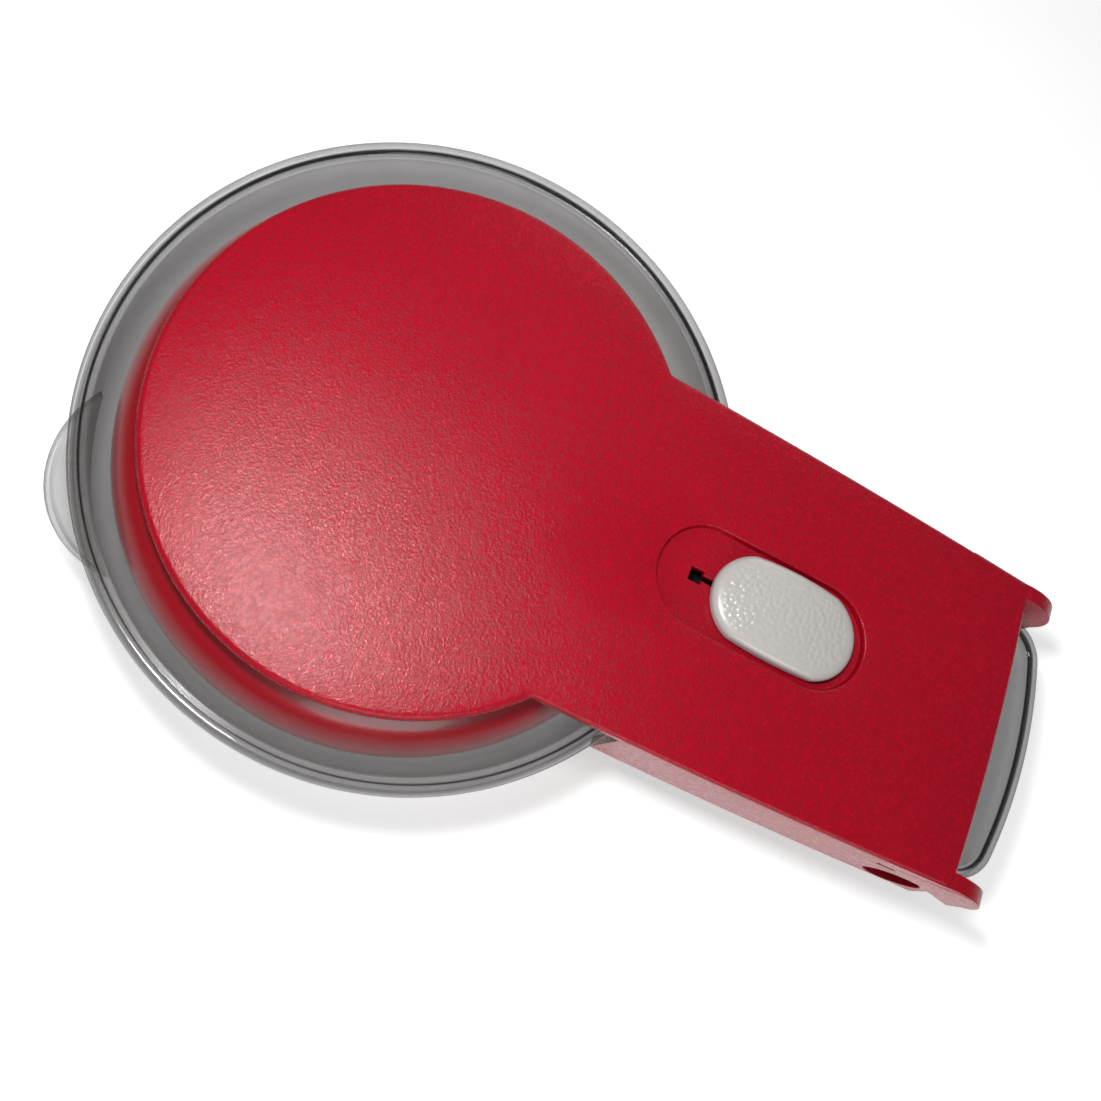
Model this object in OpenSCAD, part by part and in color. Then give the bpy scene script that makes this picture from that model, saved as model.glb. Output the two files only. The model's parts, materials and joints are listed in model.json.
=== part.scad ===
// Battery can opener: a red powered head hinged in a clear bowl with a handle tray.
// Millimetres. Origin: centre of the round head, on the surface that the bowl stands on.
// +X runs along the handle to the hinge, +Z is up.

/* [Bowl] */
// Outer radius of the bowl's rim
rim_r = 61.5; // [60:0.5:75]
// Height of the rim above the table
rim_h = 28.7; // [28:0.1:36]
// Thickness of the clear wall
clear_wall = 2.0; // [1.6:0.1:2.6]
// Radius of the flat foot
foot_r = 44; // [36:1:50]
// Half width of the clear handle tray
tray_half_w = 25.3; // [20:0.1:30]
// Far end of the clear handle tray
tray_end_x = 128.5; // [124:0.5:160]
// Height of the tray's underside above the table
tray_z = 8; // [5:0.5:9]

/* [Top cover] */
// Radius of the round head
disc_r = 49.9; // [46:0.1:56]
// Height of the flat top above the table
top_z = 33; // [33:0.5:42]
// Thickness of the top plate
plate_t = 2.5; // [2:0.1:3.5]
// Half width of the handle where it leaves the head
neck_half_w = 32.9; // [28:0.1:38]
// Half width of the handle at its rear end
end_half_w = 28.7; // [27:0.1:36]
// Rear end of the top plate
plate_end_x = 117.2; // [114:0.2:150]
// Thickness of the handle's side walls
skirt_t = 2; // [1.5:0.1:3]
// Height of the side walls' lower edge above the table
skirt_z = 12; // [9:0.5:16]

/* [Hinge] */
// Distance of the hinge in front of the plate's rear end
hinge_back = 4.6; // [4:0.1:8]
// Height of the hinge axis above the table
hinge_z = 18.2; // [16:0.1:22]
// Radius of the bearing holes
hinge_r = 5; // [3.5:0.1:5.5]
// Angle that the head opens to, in degrees
lid_angle = 40; // [20:1:40]

/* [Drum] */
// Largest radius of the drum
drum_r = 55; // [50:0.5:60]
// Height of the drum's underside above the table
drum_z = 8; // [7.5:0.1:12]
// Radius of the drum's rounded side
drum_round = 10; // [9:0.1:12]
// Thickness of the drum's wall
drum_wall = 1.8; // [1.2:0.1:2.5]

/* [Slide button] */
// Length of the button
button_l = 28; // [20:0.5:30]
// Width of the button
button_w = 17; // [12:0.5:20]
// Distance of the button in front of the plate's rear end
button_back = 43.9; // [40:0.5:50]
// Height of the button above the top plate
button_proud = 2.2; // [1:0.1:4]
// Distance that the button slides towards the head
button_travel = 9; // [6:0.5:9]

/* [Batteries] */
// Diameter of a cell
cell_d = 14.2; // [10.5:0.1:14.5]
// Length of a cell without its nub
cell_l = 49.2; // [43:0.1:50]
// Distance that the battery door slides
door_travel = 4.5; // [3:0.5:4.5]

/* [Drive] */
// Teeth of each small gear
pinion_teeth = 12; // [12:1:14]
// Teeth of the first large gear
first_teeth = 48; // [40:1:48]
// Teeth of the second large gear
second_teeth = 42; // [36:1:42]
// Teeth of the output gear
output_teeth = 36; // [30:1:36]
// Diameter of the motor
motor_d = 24.4; // [20:0.1:26]
// Radius of the traction wheel
drive_wheel_r = 6; // [5:0.1:7]
// Radius of the cutting wheel
cutter_r = 6.5; // [5:0.1:7]
// Radius of the lid magnet
magnet_r = 7.5; // [5:0.1:9]

/* [Hidden] */
$fn = 96;

eps = 0.01;
run_gap = 0.05;        // running clearance on a radius
seat_gap = 0.02;       // clearance of a piece that is pressed or glued in
fit_gap = 0.4;         // clearance between mouldings that pass each other
red = "#b3122b";
dark_red = "#8f0c1e";
steel = "#b9bcc0";
brass = "#c9a24a";
clear = [0.75, 0.78, 0.78, 0.45];

// ---- bowl and tray
rim_step_h = 1.4;      // depth of the rabbet inside the rim
rim_land = 1.9;        // width of the rim's top land
rim_lip_h = 3.2;       // height of the rim's outer band
rim_lip = 1.2;         // how far the band stands out from the wall
bowl_r = rim_r - rim_lip;
curve_z = 22;          // height where the wall starts to curve in
tray_floor_z = tray_z + clear_wall;
tray_end_r = 95;
tray_corner_r = 8;
tab_angle = -146;
tab_reach = 66.7;
tab_r = 19.3;
tab_z = 13.5;
tab_t = 3;

// ---- top cover
plate_z = top_z - plate_t;
neck_x = sqrt(disc_r * disc_r - neck_half_w * neck_half_w);
edge_bulge = 0.5;
end_sag = 1;           // how far the rear edge bows out
ear_t = 3;
ear_inner = tray_half_w + 0.6;
ear_r = 8.4;
ear_x = plate_end_x - 0.6;   // centre of the ear's round
ear_reach = 7.7;
bowl_gap = 1.1;        // gap between the side walls and the rim
ring_r = 45.8;         // locating ring under the head
ring_t = 2;
ring_z = top_z - 8;

// ---- hinge
hinge_x = plate_end_x - hinge_back;
trunnion_r = hinge_r - 0.08;
// The tray's end is cut down to pass under the plate's rear edge when the head is open.
tray_end_z = hinge_z + (plate_z - hinge_z) * cos(lid_angle) - hinge_back * sin(lid_angle) - 0.5;

// ---- drum
round_r = drum_r - drum_round;
round_z = drum_z + drum_round;
drum_top_z = top_z - 5.8;
floor_z = drum_z + 1.6;
mouth_r = ring_r + fit_gap;
boss_r = 3.25;
boss_z = floor_z + 2.2;
cover_screw_at = [[-20, -34], [-14, 36], [34, -26], [34, 26]];

// ---- battery box
box_wall = 1.6;
box_z = tray_floor_z + 0.8;
lip_t = 0.7;
door_gap = 0.2;
door_t = 1;
door_z = box_z + lip_t + door_gap;
cell_z = door_z + door_t + 0.3 + cell_d / 2;
cell_y = cell_d / 2 + 0.3;
box_half_in = cell_d + 1.7;
box_half = box_half_in + box_wall;
contact_t = 0.5;
nub_l = 1;
spring_l = 4;
box_x0 = drum_r - 0.5;
box_x1 = box_x0 + cell_l + nub_l + spring_l + 2 * contact_t + 0.8;
door_half = box_half_in - 0.3;

// ---- button
button_x = plate_end_x - button_back;
recess_margin = 2;
recess_l = button_l + button_travel + 2 * recess_margin;
recess_w = button_w + recess_margin;
recess_depth = 1.7;
recess_x = button_x + button_l / 2 + recess_margin - recess_l / 2;
recess_floor_t = 1.4;
slot_w = 1.1;
blade_t = 0.9;
blade_l = 8;
slider_t = 1.4;
recess_z = top_z - recess_depth;
slider_z = recess_z - recess_floor_t - 0.2 - slider_t;
bridge_t = 0.5;
leaf_t = 0.8;
leaf_z = slider_z + 0.2;

// ---- gears: three stages on three levels
pressure = 25;
addendum = 0.9;
backlash = 0.1;
m1 = 0.5;
m2 = 0.6;
m3 = 0.8;
out_z = floor_z + 0.4;
out_t = 1.8;
second_z = out_z + out_t + 0.4;
second_t = 1.6;
first_z = second_z + second_t + 0.2;
first_t = 1.6;
gear_plate_z = first_z + first_t + 0.4;
gear_plate_t = 1.2;
axle_r = 1;
drive_at = [-25, 0];
leg_3 = m3 * (pinion_teeth + output_teeth) / 2;
leg_2 = m2 * (pinion_teeth + second_teeth) / 2;
leg_1 = m1 * (pinion_teeth + first_teeth) / 2;
turn_3 = 40;
turn_2 = -20;
turn_1 = -50;
second_at = drive_at + leg_3 * [cos(turn_3), sin(turn_3)];
first_at = second_at + leg_2 * [cos(turn_2), sin(turn_2)];
motor_at = first_at + leg_1 * [cos(turn_1), sin(turn_1)];
plate_screw_at = [[-30, 22], [-18, -24], [24, 14]];

// ---- motor
motor_z = gear_plate_z + gear_plate_t;
can_h = 10.8;
cap_h = 0.8;
can_wall = 0.8;
motor_screw_r = 7;
motor_shaft_r = 1;

// ---- drive shaft and cutter
shaft_r = 3;
wheel_z = drum_z - 4.4;
wheel_h = 3.4;
cutter_gap = 0.5;
cutter_at = drive_at - [drive_wheel_r + cutter_r + cutter_gap, 0];
pivot_at = cutter_at + [5, -22];
arm_t = 1.2;
arm_z = drum_z - 1.8;
arm_half_w = 3.5;
pin_r = 1.5;
magnet_at = [6, 0];
magnet_h = 3.4;
holder_wall = 1;
wire_r = 0.6;

// ---- shared shapes

module at(p, z = 0) { translate([p[0], p[1], z]) children(); }

module stadium(l, w) {
    square([l - w, w], center = true);
    for (s = [-1, 1]) translate([s * (l - w) / 2, 0]) circle(d = w);
}

module ring2d(r_out, r_in) {
    difference() {
        circle(r = r_out);
        circle(r = r_in);
    }
}

// Involute function in degrees.
function inv(a) = tan(a) * 180 / PI - a;

// Half of a tooth's angle at radius r, on a gear of n teeth and module m.
function half_tooth(n, m, r) =
    let (base = m * n / 2 * cos(pressure), a = acos(min(1, base / r)))
    90 / n - backlash / (m * n) * 90 / PI + inv(pressure) - inv(a);

// One tooth's outline, from its root up one flank and down the other.
function tooth(n, m) =
    let (
        base = m * n / 2 * cos(pressure),
        root = m * (n / 2 - 1.25),
        tip = m * (n / 2 + addendum),
        start = max(base, root),
        radii = [start, (start + tip) / 2, tip],
        up = [for (r = radii) [r, -half_tooth(n, m, r)]],
        down = [for (i = [2:-1:0]) [radii[i], half_tooth(n, m, radii[i])]]
    )
    concat([[root, up[0][1]]], up, down, [[root, down[2][1]]]);

// A spur gear with a tooth centred on the direction dir.
module gear2d(n, m, bore, dir) {
    outline = tooth(n, m);
    difference() {
        polygon([for (i = [0:n - 1], p = outline) p[0] * [
            cos(dir + i * 360 / n + p[1]), sin(dir + i * 360 / n + p[1])]]);
        circle(r = bore, $fn = 48);
    }
}

function unit(v) = v / norm(v);

// A round tube along a list of points, with rings set square to its direction.
module tube(path, r, up, sides = 8) {
    last = len(path) - 1;
    rings = [for (i = [0:last])
        let (
            t = unit(path[min(i + 1, last)] - path[max(i - 1, 0)]),
            n = unit(cross(t, up)),
            b = cross(n, t)
        )
        for (k = [0:sides - 1])
            path[i] + r * (cos(k * 360 / sides) * n + sin(k * 360 / sides) * b)];
    walls = [for (i = [0:last - 1], k = [0:sides - 1])
        [i * sides + k, (i + 1) * sides + k, (i + 1) * sides + (k + 1) % sides,
         i * sides + (k + 1) % sides]];
    polyhedron(rings, concat(walls,
        [[for (k = [0:sides - 1]) k]],
        [[for (k = [sides - 1:-1:0]) last * sides + k]]));
}

// ---- the clear bowl

module bowl_section(r, bottom, foot) {
    depth = curve_z - bottom;
    polygon(concat(
        [[0, bottom], [foot, bottom]],
        [for (a = [-90 + 6:6:0]) [foot + (r - foot) * cos(a), curve_z + depth * sin(a)]],
        [[r, rim_h + 1], [0, rim_h + 1]]));
}

module tray_outline(inset) {
    half = tray_half_w - inset;
    end = tray_end_x - inset;
    r = tray_corner_r - inset;
    intersection() {
        translate([tray_end_x - tray_end_r, 0]) circle(r = tray_end_r - inset, $fn = 240);
        union() {
            translate([30, -half]) square([end - r - 30, 2 * half]);
            translate([30, -half + r]) square([end - 30, 2 * (half - r)]);
            for (s = [-1, 1]) translate([end - r, s * (half - r)]) circle(r = r);
        }
    }
}

module clear_bowl() color(clear) {
    difference() {
        union() {
            rotate_extrude($fn = 180) intersection() {
                bowl_section(bowl_r, 0, foot_r);
                square([rim_r, rim_h]);
            }
            rotate_extrude($fn = 180) translate([bowl_r - 1, rim_h - rim_lip_h])
                square([rim_lip + 1, rim_lip_h]);
            translate([0, 0, tray_z]) linear_extrude(rim_h - tray_z) tray_outline(0);
            rotate([0, 0, tab_angle]) translate([tab_reach - tab_r, 0, tab_z])
                cylinder(r = tab_r, h = tab_t);
        }
        rotate_extrude($fn = 180)
            bowl_section(bowl_r - clear_wall, clear_wall, foot_r - clear_wall);
        rotate_extrude($fn = 180) translate([0, rim_h - rim_step_h])
            square([rim_r - rim_land, rim_step_h + 1]);
        translate([0, 0, tray_floor_z]) linear_extrude(rim_h) tray_outline(clear_wall);
        translate([0, 0, rim_h - rim_step_h]) linear_extrude(rim_h) tray_outline(clear_wall - 0.7);
        translate([hinge_x - 8, -rim_r, tray_end_z]) cube([rim_r, 2 * rim_r, rim_h]);
        translate([0, 0, tray_end_z - rim_step_h]) linear_extrude(rim_h) intersection() {
            tray_outline(clear_wall - 0.9);
            translate([hinge_x + hinge_r + 1, -rim_r]) square(2 * rim_r);
        }
    }
    for (s = [-1, 1]) translate([hinge_x, s * (tray_half_w - eps), hinge_z]) rotate([-s * 90, 0, 0])
        difference() {
            cylinder(r = trunnion_r, h = ear_inner - tray_half_w + ear_t - 1.2);
            translate([0, 0, 0.6]) cylinder(r = trunnion_r - 1.6, h = ear_t);
        }
}

// ---- the red top cover

function edge_y(x) =
    let (s = (x - neck_x) / (plate_end_x - neck_x))
    neck_half_w + (end_half_w - neck_half_w) * s + edge_bulge * 4 * s * (1 - s);

module handle_outline(inset, end_x) {
    steps = 8;
    xs = [for (i = [0:steps]) neck_x + (end_x - neck_x) * i / steps];
    polygon(concat(
        [[0, -20]],
        [for (x = xs) [x, inset - edge_y(x)]],
        [for (i = [steps:-1:0]) [xs[i], edge_y(xs[i]) - inset]],
        [[0, 20]]));
}

module plate_outline() {
    handle_outline(0, plate_end_x - end_sag);
    bow = (end_half_w * end_half_w + end_sag * end_sag) / (2 * end_sag);
    intersection() {
        translate([plate_end_x - bow, 0]) circle(r = bow, $fn = 360);
        handle_outline(0, plate_end_x);
        translate([neck_x, -60]) square([plate_end_x, 120]);
    }
}

// Side view of the rear corner: bearing wall, hooked ear above and jaw below the notch.
module ear_profile() {
    cz = top_z - ear_r;
    polygon(concat(
        [[hinge_x - 9, skirt_z], [hinge_x + hinge_r + 1.8, skirt_z + 0.8],
         [hinge_x + hinge_r + 1, hinge_z + 2]],
        [[ear_x + ear_reach, hinge_z - 1]],
        [for (a = [-20:10:90]) [ear_x + ear_r * cos(a), cz + ear_r * sin(a)]],
        [[hinge_x - 9, top_z]]));
}

module top_cover() color(red) {
    difference() {
        union() {
            translate([0, 0, plate_z]) linear_extrude(plate_t) plate_outline();
            rotate_extrude($fn = 240) translate([0, plate_z]) {
                square([disc_r - plate_t / 2, plate_t]);
                translate([disc_r - plate_t / 2, plate_t / 2]) circle(d = plate_t, $fn = 32);
            }
            difference() {
                translate([0, 0, skirt_z]) linear_extrude(plate_z - skirt_z + 1) difference() {
                    handle_outline(0, hinge_x - 8);
                    handle_outline(skirt_t, hinge_x);
                }
                cylinder(r = rim_r + bowl_gap, h = top_z, $fn = 180);
            }
            intersection() {
                translate([0, 60, 0]) rotate([90, 0, 0]) linear_extrude(120) ear_profile();
                linear_extrude(top_z) difference() {
                    handle_outline(0, plate_end_x + 12);
                    translate([0, -ear_inner]) square([plate_end_x + 20, 2 * ear_inner]);
                }
            }
            difference() {
                translate([0, 0, ring_z]) linear_extrude(plate_z - ring_z + 1)
                    ring2d(ring_r, ring_r - ring_t);
                translate([20, -14, 0]) cube([40, 28, plate_z]);
            }
            for (p = cover_screw_at) at(p, boss_z) cylinder(r = boss_r, h = plate_z - boss_z + 1);
            translate([recess_x, 0, recess_z - recess_floor_t])
                linear_extrude(recess_depth + recess_floor_t - eps)
                    stadium(recess_l + 2, recess_w + 2);
        }
        translate([recess_x, 0, recess_z]) linear_extrude(plate_t) stadium(recess_l, recess_w);
        slot_x0 = recess_x - recess_l / 2 + 6.6;
        slot_x1 = button_x + blade_l / 2 + 0.6;
        translate([slot_x0, -slot_w / 2, 0]) cube([slot_x1 - slot_x0, slot_w, top_z]);
        translate([slot_x0, -1.3, 0]) cube([2.5, 2.6, top_z]);
        for (p = cover_screw_at) at(p, boss_z - 1) cylinder(r = 1.2 + seat_gap, h = 10, $fn = 32);
        for (s = [-1, 1]) translate([hinge_x, s * (ear_inner - 1), hinge_z]) rotate([-s * 90, 0, 0])
            cylinder(r = hinge_r, h = 10);
        for (s = [-1, 1]) translate([hinge_x - 7.6, s * 35 - 8, top_z - 6.6])
            cube([3.4, 16, 1.2]);
    }
}

// ---- the lower housing: drum and battery box in one moulding

module drum_section(wall) {
    intersection() {
        union() {
            translate([0, drum_z + wall]) square([round_r, drum_top_z]);
            translate([round_r, round_z]) circle(r = drum_round - wall, $fn = 72);
        }
        translate([0, drum_z]) square([drum_r, drum_top_z - drum_z + (wall > 0 ? -wall : 0)]);
    }
}

module lower_housing() color(dark_red) {
    difference() {
        union() {
            rotate_extrude($fn = 180) drum_section(0);
            translate([round_r, -box_half, box_z])
                cube([box_x1 + box_wall - round_r, 2 * box_half, drum_top_z - box_z]);
        }
        difference() {
            union() {
                rotate_extrude($fn = 180) drum_section(drum_wall);
                cylinder(r = mouth_r, h = top_z);
            }
            cylinder(r = drum_r, h = floor_z);
            for (p = cover_screw_at) at(p) cylinder(r = boss_r + 0.9, h = boss_z);
            for (p = plate_screw_at) at(p) cylinder(r = boss_r, h = gear_plate_z);
        }
        translate([box_x0, -box_half_in, door_z - door_gap])
            cube([box_x1 - box_x0, 2 * box_half_in, top_z]);
        translate([box_x0, -box_half_in, door_z - door_gap])
            cube([box_x1, 2 * box_half_in, door_t + 2 * door_gap]);
        translate([box_x0, -box_half_in + 1.5, 0])
            cube([box_x1, 2 * box_half_in - 3, door_z]);
        for (p = cover_screw_at) at(p) {
            cylinder(r = 1.5, h = top_z, $fn = 32);
            cylinder(r = 2.7, h = drum_z + 2, $fn = 48);
        }
        for (p = plate_screw_at) at(p, floor_z + 1) cylinder(r = 1 + seat_gap, h = top_z, $fn = 32);
        for (p = [first_at, second_at]) at(p, drum_z + 0.6)
            cylinder(r = axle_r + seat_gap, h = top_z, $fn = 32);
        at(drive_at) cylinder(r = 4.6 + seat_gap, h = top_z, $fn = 48);
        at(pivot_at) cylinder(r = pin_r + seat_gap, h = top_z, $fn = 48);
    }
}

module battery_door() color(dark_red) {
    translate([box_x0 + 0.3, -door_half, door_z])
        cube([box_x1 + box_wall - box_x0 - 0.3, 2 * door_half, door_t]);
    for (i = [0:3]) translate([box_x1 - 16 + 3 * i, -7, door_z - lip_t])
        cube([1.2, 14, lip_t + 0.2]);
}

// ---- the slide switch

module slide_button() color("white") {
    base_z = recess_z + 0.2;
    h = top_z + button_proud - base_z;
    crown_r = 70;
    translate([button_x, 0, 0]) {
        intersection() {
            translate([0, 0, base_z]) linear_extrude(h) stadium(button_l, button_w);
            translate([0, 0, base_z + h - crown_r]) sphere(r = crown_r, $fn = 180);
        }
        translate([-blade_l / 2, -blade_t / 2, slider_z]) cube([blade_l, blade_t, base_z - slider_z + 1]);
    }
}

module button_slider() color("ivory") {
    difference() {
        translate([button_x - 7, -5, slider_z]) cube([14, 10, slider_t]);
        translate([button_x - blade_l / 2 - seat_gap, -blade_t / 2 - seat_gap, 0])
            cube([blade_l + 2 * seat_gap, blade_t + 2 * seat_gap, top_z]);
    }
}

module contact_bridge() color(brass)
    translate([button_x - 6.5, -7, slider_z - bridge_t]) difference() {
        cube([5, 14, bridge_t]);
        translate([2.3, 6.4, -1]) cube([6, 1.2, 3]);
    }

// ---- battery contacts, springs and cells

module end_plate(x, y) {
    translate([x, y - 5.5, cell_z - 5.5]) cube([contact_t, 11, 11]);
}

module positive_contact() color(brass) {
    x = box_x0 + 0.1;
    end_plate(x, cell_y);
    translate([x, cell_y - 1.5, cell_z]) cube([contact_t, 2, leaf_z + leaf_t - cell_z]);
    translate([x, cell_y - 1.5, leaf_z]) cube([11, 2, leaf_t]);
}

module negative_contact() color(brass) {
    x = box_x0 + 0.1;
    end_plate(x, -cell_y);
    translate([x, -cell_y - 4.5, cell_z]) cube([contact_t, 2, drum_top_z + 0.6 - cell_z]);
}

module switch_contact() color(brass)
    translate([box_x0 - 2.5, 0.5 - cell_y, leaf_z]) mirror([0, 1, 0]) cube([13.5, 1.2, leaf_t]);

module rear_contact() color(brass) {
    x = box_x1 - 0.1 - contact_t;
    for (s = [-1, 1]) end_plate(x, s * cell_y);
    translate([x, -3, cell_z - 2]) cube([contact_t, 6, 4]);
}

module battery_springs() color(steel) {
    turns = 4;
    rings = 44;
    for (side = [0, 1]) {
        x0 = side == 0 ? box_x1 - 0.2 - contact_t - spring_l : box_x0 + 0.2 + contact_t;
        y = side == 0 ? cell_y : -cell_y;
        tube([for (i = [0:rings]) [
            x0 + 0.4 + (spring_l - 0.9) * i / rings,
            y + 3.4 * cos(i * 360 * turns / rings),
            cell_z + 3.4 * sin(i * 360 * turns / rings)]], 0.3, [1, 0, 0], 6);
    }
}

// A cell with its nub towards -X.
module cell() {
    rotate([0, 90, 0]) cylinder(r = cell_d / 2, h = cell_l);
    translate([-nub_l, 0, 0]) rotate([0, 90, 0]) cylinder(r = 2.75, h = nub_l + 1, $fn = 48);
}

module battery_left() color("goldenrod")
    translate([box_x0 + 0.2 + contact_t + nub_l, cell_y, cell_z]) cell();

module battery_right() color("goldenrod")
    translate([box_x1 - 0.2 - contact_t - nub_l, -cell_y, cell_z]) mirror([1, 0, 0]) cell();

// ---- motor

module motor_can() color(steel) at(motor_at, motor_z) difference() {
    union() {
        cylinder(r = motor_d / 2, h = can_h);
        translate([0, 0, -0.9]) cylinder(r = 3, h = 1);
    }
    translate([0, 0, can_wall]) cylinder(r = motor_d / 2 - can_wall, h = can_h);
    translate([0, 0, -2]) cylinder(r = motor_shaft_r + run_gap, h = 5, $fn = 48);
    for (s = [-1, 1]) translate([s * motor_screw_r, 0, -1]) cylinder(r = 0.8 + seat_gap, h = 3, $fn = 32);
}

module motor_end_cap() color("ivory") at(motor_at, motor_z + can_h) {
    difference() {
        union() {
            cylinder(r = motor_d / 2, h = cap_h);
            translate([0, -5, 0.1]) cube([motor_d / 2 + 1.5, 2, 0.6]);
            translate([0, 3, 0.1]) cube([motor_d / 2 + 1.5, 2, 0.6]);
        }
        translate([0, 0, -1]) cylinder(r = motor_shaft_r + run_gap, h = 5, $fn = 48);
    }
}

module motor_magnets() color("dimgray") at(motor_at, motor_z + 1.6)
    for (a = [0, 180]) rotate([0, 0, a]) linear_extrude(can_h - 2.6) intersection() {
        ring2d(motor_d / 2 - can_wall - seat_gap, motor_d / 2 - can_wall - 1.8);
        translate([0, -8]) square([20, 16]);
    }

module motor_armature() color("sienna") at(motor_at, motor_z + 2) difference() {
    cylinder(r = motor_d / 2 - can_wall - 2.4, h = can_h - 3.4);
    for (a = [0, 120, 240]) rotate([0, 0, a]) translate([3.4, -0.6, -1]) cube([20, 1.2, can_h]);
    translate([0, 0, -1]) cylinder(r = motor_shaft_r + seat_gap, h = can_h, $fn = 48);
}

module motor_shaft() color(steel) at(motor_at, first_z)
    cylinder(r = motor_shaft_r, h = motor_z + can_h + cap_h + 0.2 - first_z, $fn = 48);

module motor_pinion() color(brass) at(motor_at, first_z - 0.1)
    linear_extrude(first_t + 0.2) gear2d(pinion_teeth, m1, motor_shaft_r + seat_gap, turn_1 + 180);

// ---- gears

module first_gear() color("white") at(first_at) {
    translate([0, 0, first_z]) linear_extrude(first_t)
        gear2d(first_teeth, m1, axle_r + run_gap, turn_1 + 180 / first_teeth);
    translate([0, 0, second_z - 0.1]) linear_extrude(first_z - second_z + 0.1 + eps)
        gear2d(pinion_teeth, m2, axle_r + run_gap, turn_2 + 180);
    translate([0, 0, floor_z + 0.1]) linear_extrude(second_z - floor_z - 0.2 + eps)
        ring2d(2, axle_r + run_gap);
}

module second_gear() color("white") at(second_at) {
    translate([0, 0, second_z]) linear_extrude(second_t)
        gear2d(second_teeth, m2, axle_r + run_gap, turn_2 + 180 / second_teeth);
    translate([0, 0, floor_z + 0.1]) linear_extrude(second_z - floor_z - 0.1 + eps)
        gear2d(pinion_teeth, m3, axle_r + run_gap, turn_3 + 180);
    translate([0, 0, second_z + second_t - eps])
        linear_extrude(gear_plate_z - second_z - second_t - 0.1) ring2d(2, axle_r + run_gap);
}

module output_gear() color(steel) at(drive_at) {
    translate([0, 0, out_z]) linear_extrude(out_t)
        gear2d(output_teeth, m3, shaft_r + seat_gap, turn_3 + 180 / output_teeth);
    translate([0, 0, out_z + out_t - eps]) linear_extrude(gear_plate_z - out_z - out_t - 0.2)
        ring2d(4, shaft_r + seat_gap);
}

module axle(p) color(steel) at(p, drum_z + 0.6)
    cylinder(r = axle_r, h = gear_plate_z + gear_plate_t - drum_z - 0.6, $fn = 48);
module first_gear_axle() { axle(first_at); }
module second_gear_axle() { axle(second_at); }

module gear_plate() color(steel) translate([0, 0, gear_plate_z]) linear_extrude(gear_plate_t)
    difference() {
        intersection() {
            circle(r = 40);
            translate([-39, -28]) square([68, 56]);
        }
        translate(motor_at) circle(r = 3 + seat_gap);
        for (s = [-1, 1]) translate(motor_at + [s * motor_screw_r, 0]) circle(r = 1, $fn = 32);
        for (p = [first_at, second_at]) translate(p) circle(r = axle_r + seat_gap, $fn = 48);
        translate(drive_at) circle(r = 4 + seat_gap);
        for (p = plate_screw_at) translate(p) circle(r = 1.2, $fn = 32);
    }

// ---- drive shaft, traction wheel and bushes

module drive_shaft() color(steel) at(drive_at, wheel_z) difference() {
    cylinder(r = shaft_r, h = gear_plate_z + gear_plate_t + 0.8 - wheel_z);
    translate([0, 0, -1]) cylinder(r = 1 + seat_gap, h = 5, $fn = 32);
}

module drive_bush() color(brass) at(drive_at, drum_z - 0.3) linear_extrude(floor_z - drum_z + 0.5)
    ring2d(4.6, shaft_r + run_gap);

module plate_bush() color(brass) at(drive_at, gear_plate_z) linear_extrude(gear_plate_t + 0.6)
    ring2d(4, shaft_r + run_gap);

module drive_wheel() color(steel) {
    n = 22;
    at(drive_at, wheel_z) linear_extrude(wheel_h) difference() {
        polygon([for (i = [0:2 * n - 1]) (drive_wheel_r - (i % 2) * 0.6) * [
            cos(i * 180 / n), sin(i * 180 / n)]]);
        circle(r = shaft_r + seat_gap);
    }
}

module wheel_screw() color(steel) at(drive_at, wheel_z) {
    translate([0, 0, -0.8]) cylinder(r = 3.6, h = 0.78, $fn = 48);
    translate([0, 0, -0.1]) cylinder(r = 1, h = 3.6, $fn = 32);
}

// ---- cutter

module cutter_arm() color(steel) {
    d = cutter_at - pivot_at;
    difference() {
        union() {
            at(pivot_at, arm_z) cylinder(r = arm_half_w, h = arm_t);
            at(cutter_at, arm_z) cylinder(r = arm_half_w, h = arm_t);
            at(pivot_at, arm_z) rotate([0, 0, atan2(d[1], d[0])]) translate([0, -arm_half_w, 0])
                cube([norm(d), 2 * arm_half_w, arm_t]);
            at(pivot_at + 0.45 * d, arm_z - 1.6) cylinder(r = 0.8, h = 2, $fn = 32);
        }
        at(pivot_at) cylinder(r = pin_r + run_gap, h = top_z, $fn = 48);
        at(cutter_at) cylinder(r = pin_r + seat_gap, h = top_z, $fn = 48);
    }
}

module headed_pin(z0, z1, head_r) {
    translate([0, 0, z0]) cylinder(r = head_r, h = 0.7, $fn = 48);
    translate([0, 0, z0 + 0.5]) cylinder(r = pin_r, h = z1 - z0 - 0.5, $fn = 48);
}

module cutter_axle() color(steel) at(cutter_at) headed_pin(wheel_z - 0.7, arm_z + arm_t, 2.8);

module cutter_wheel() color(steel) at(cutter_at) rotate_extrude($fn = 120) polygon([
    [pin_r + run_gap, wheel_z + 0.2], [cutter_r - 1.6, wheel_z + 0.2], [cutter_r, wheel_z + 0.7],
    [cutter_r - 1.6, wheel_z + 1.6], [2.6, wheel_z + 2.4], [pin_r + run_gap, wheel_z + 2.4]]);

module cutter_pivot() color(steel) at(pivot_at) headed_pin(wheel_z - 0.6, floor_z + 0.2, 3.4);

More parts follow.
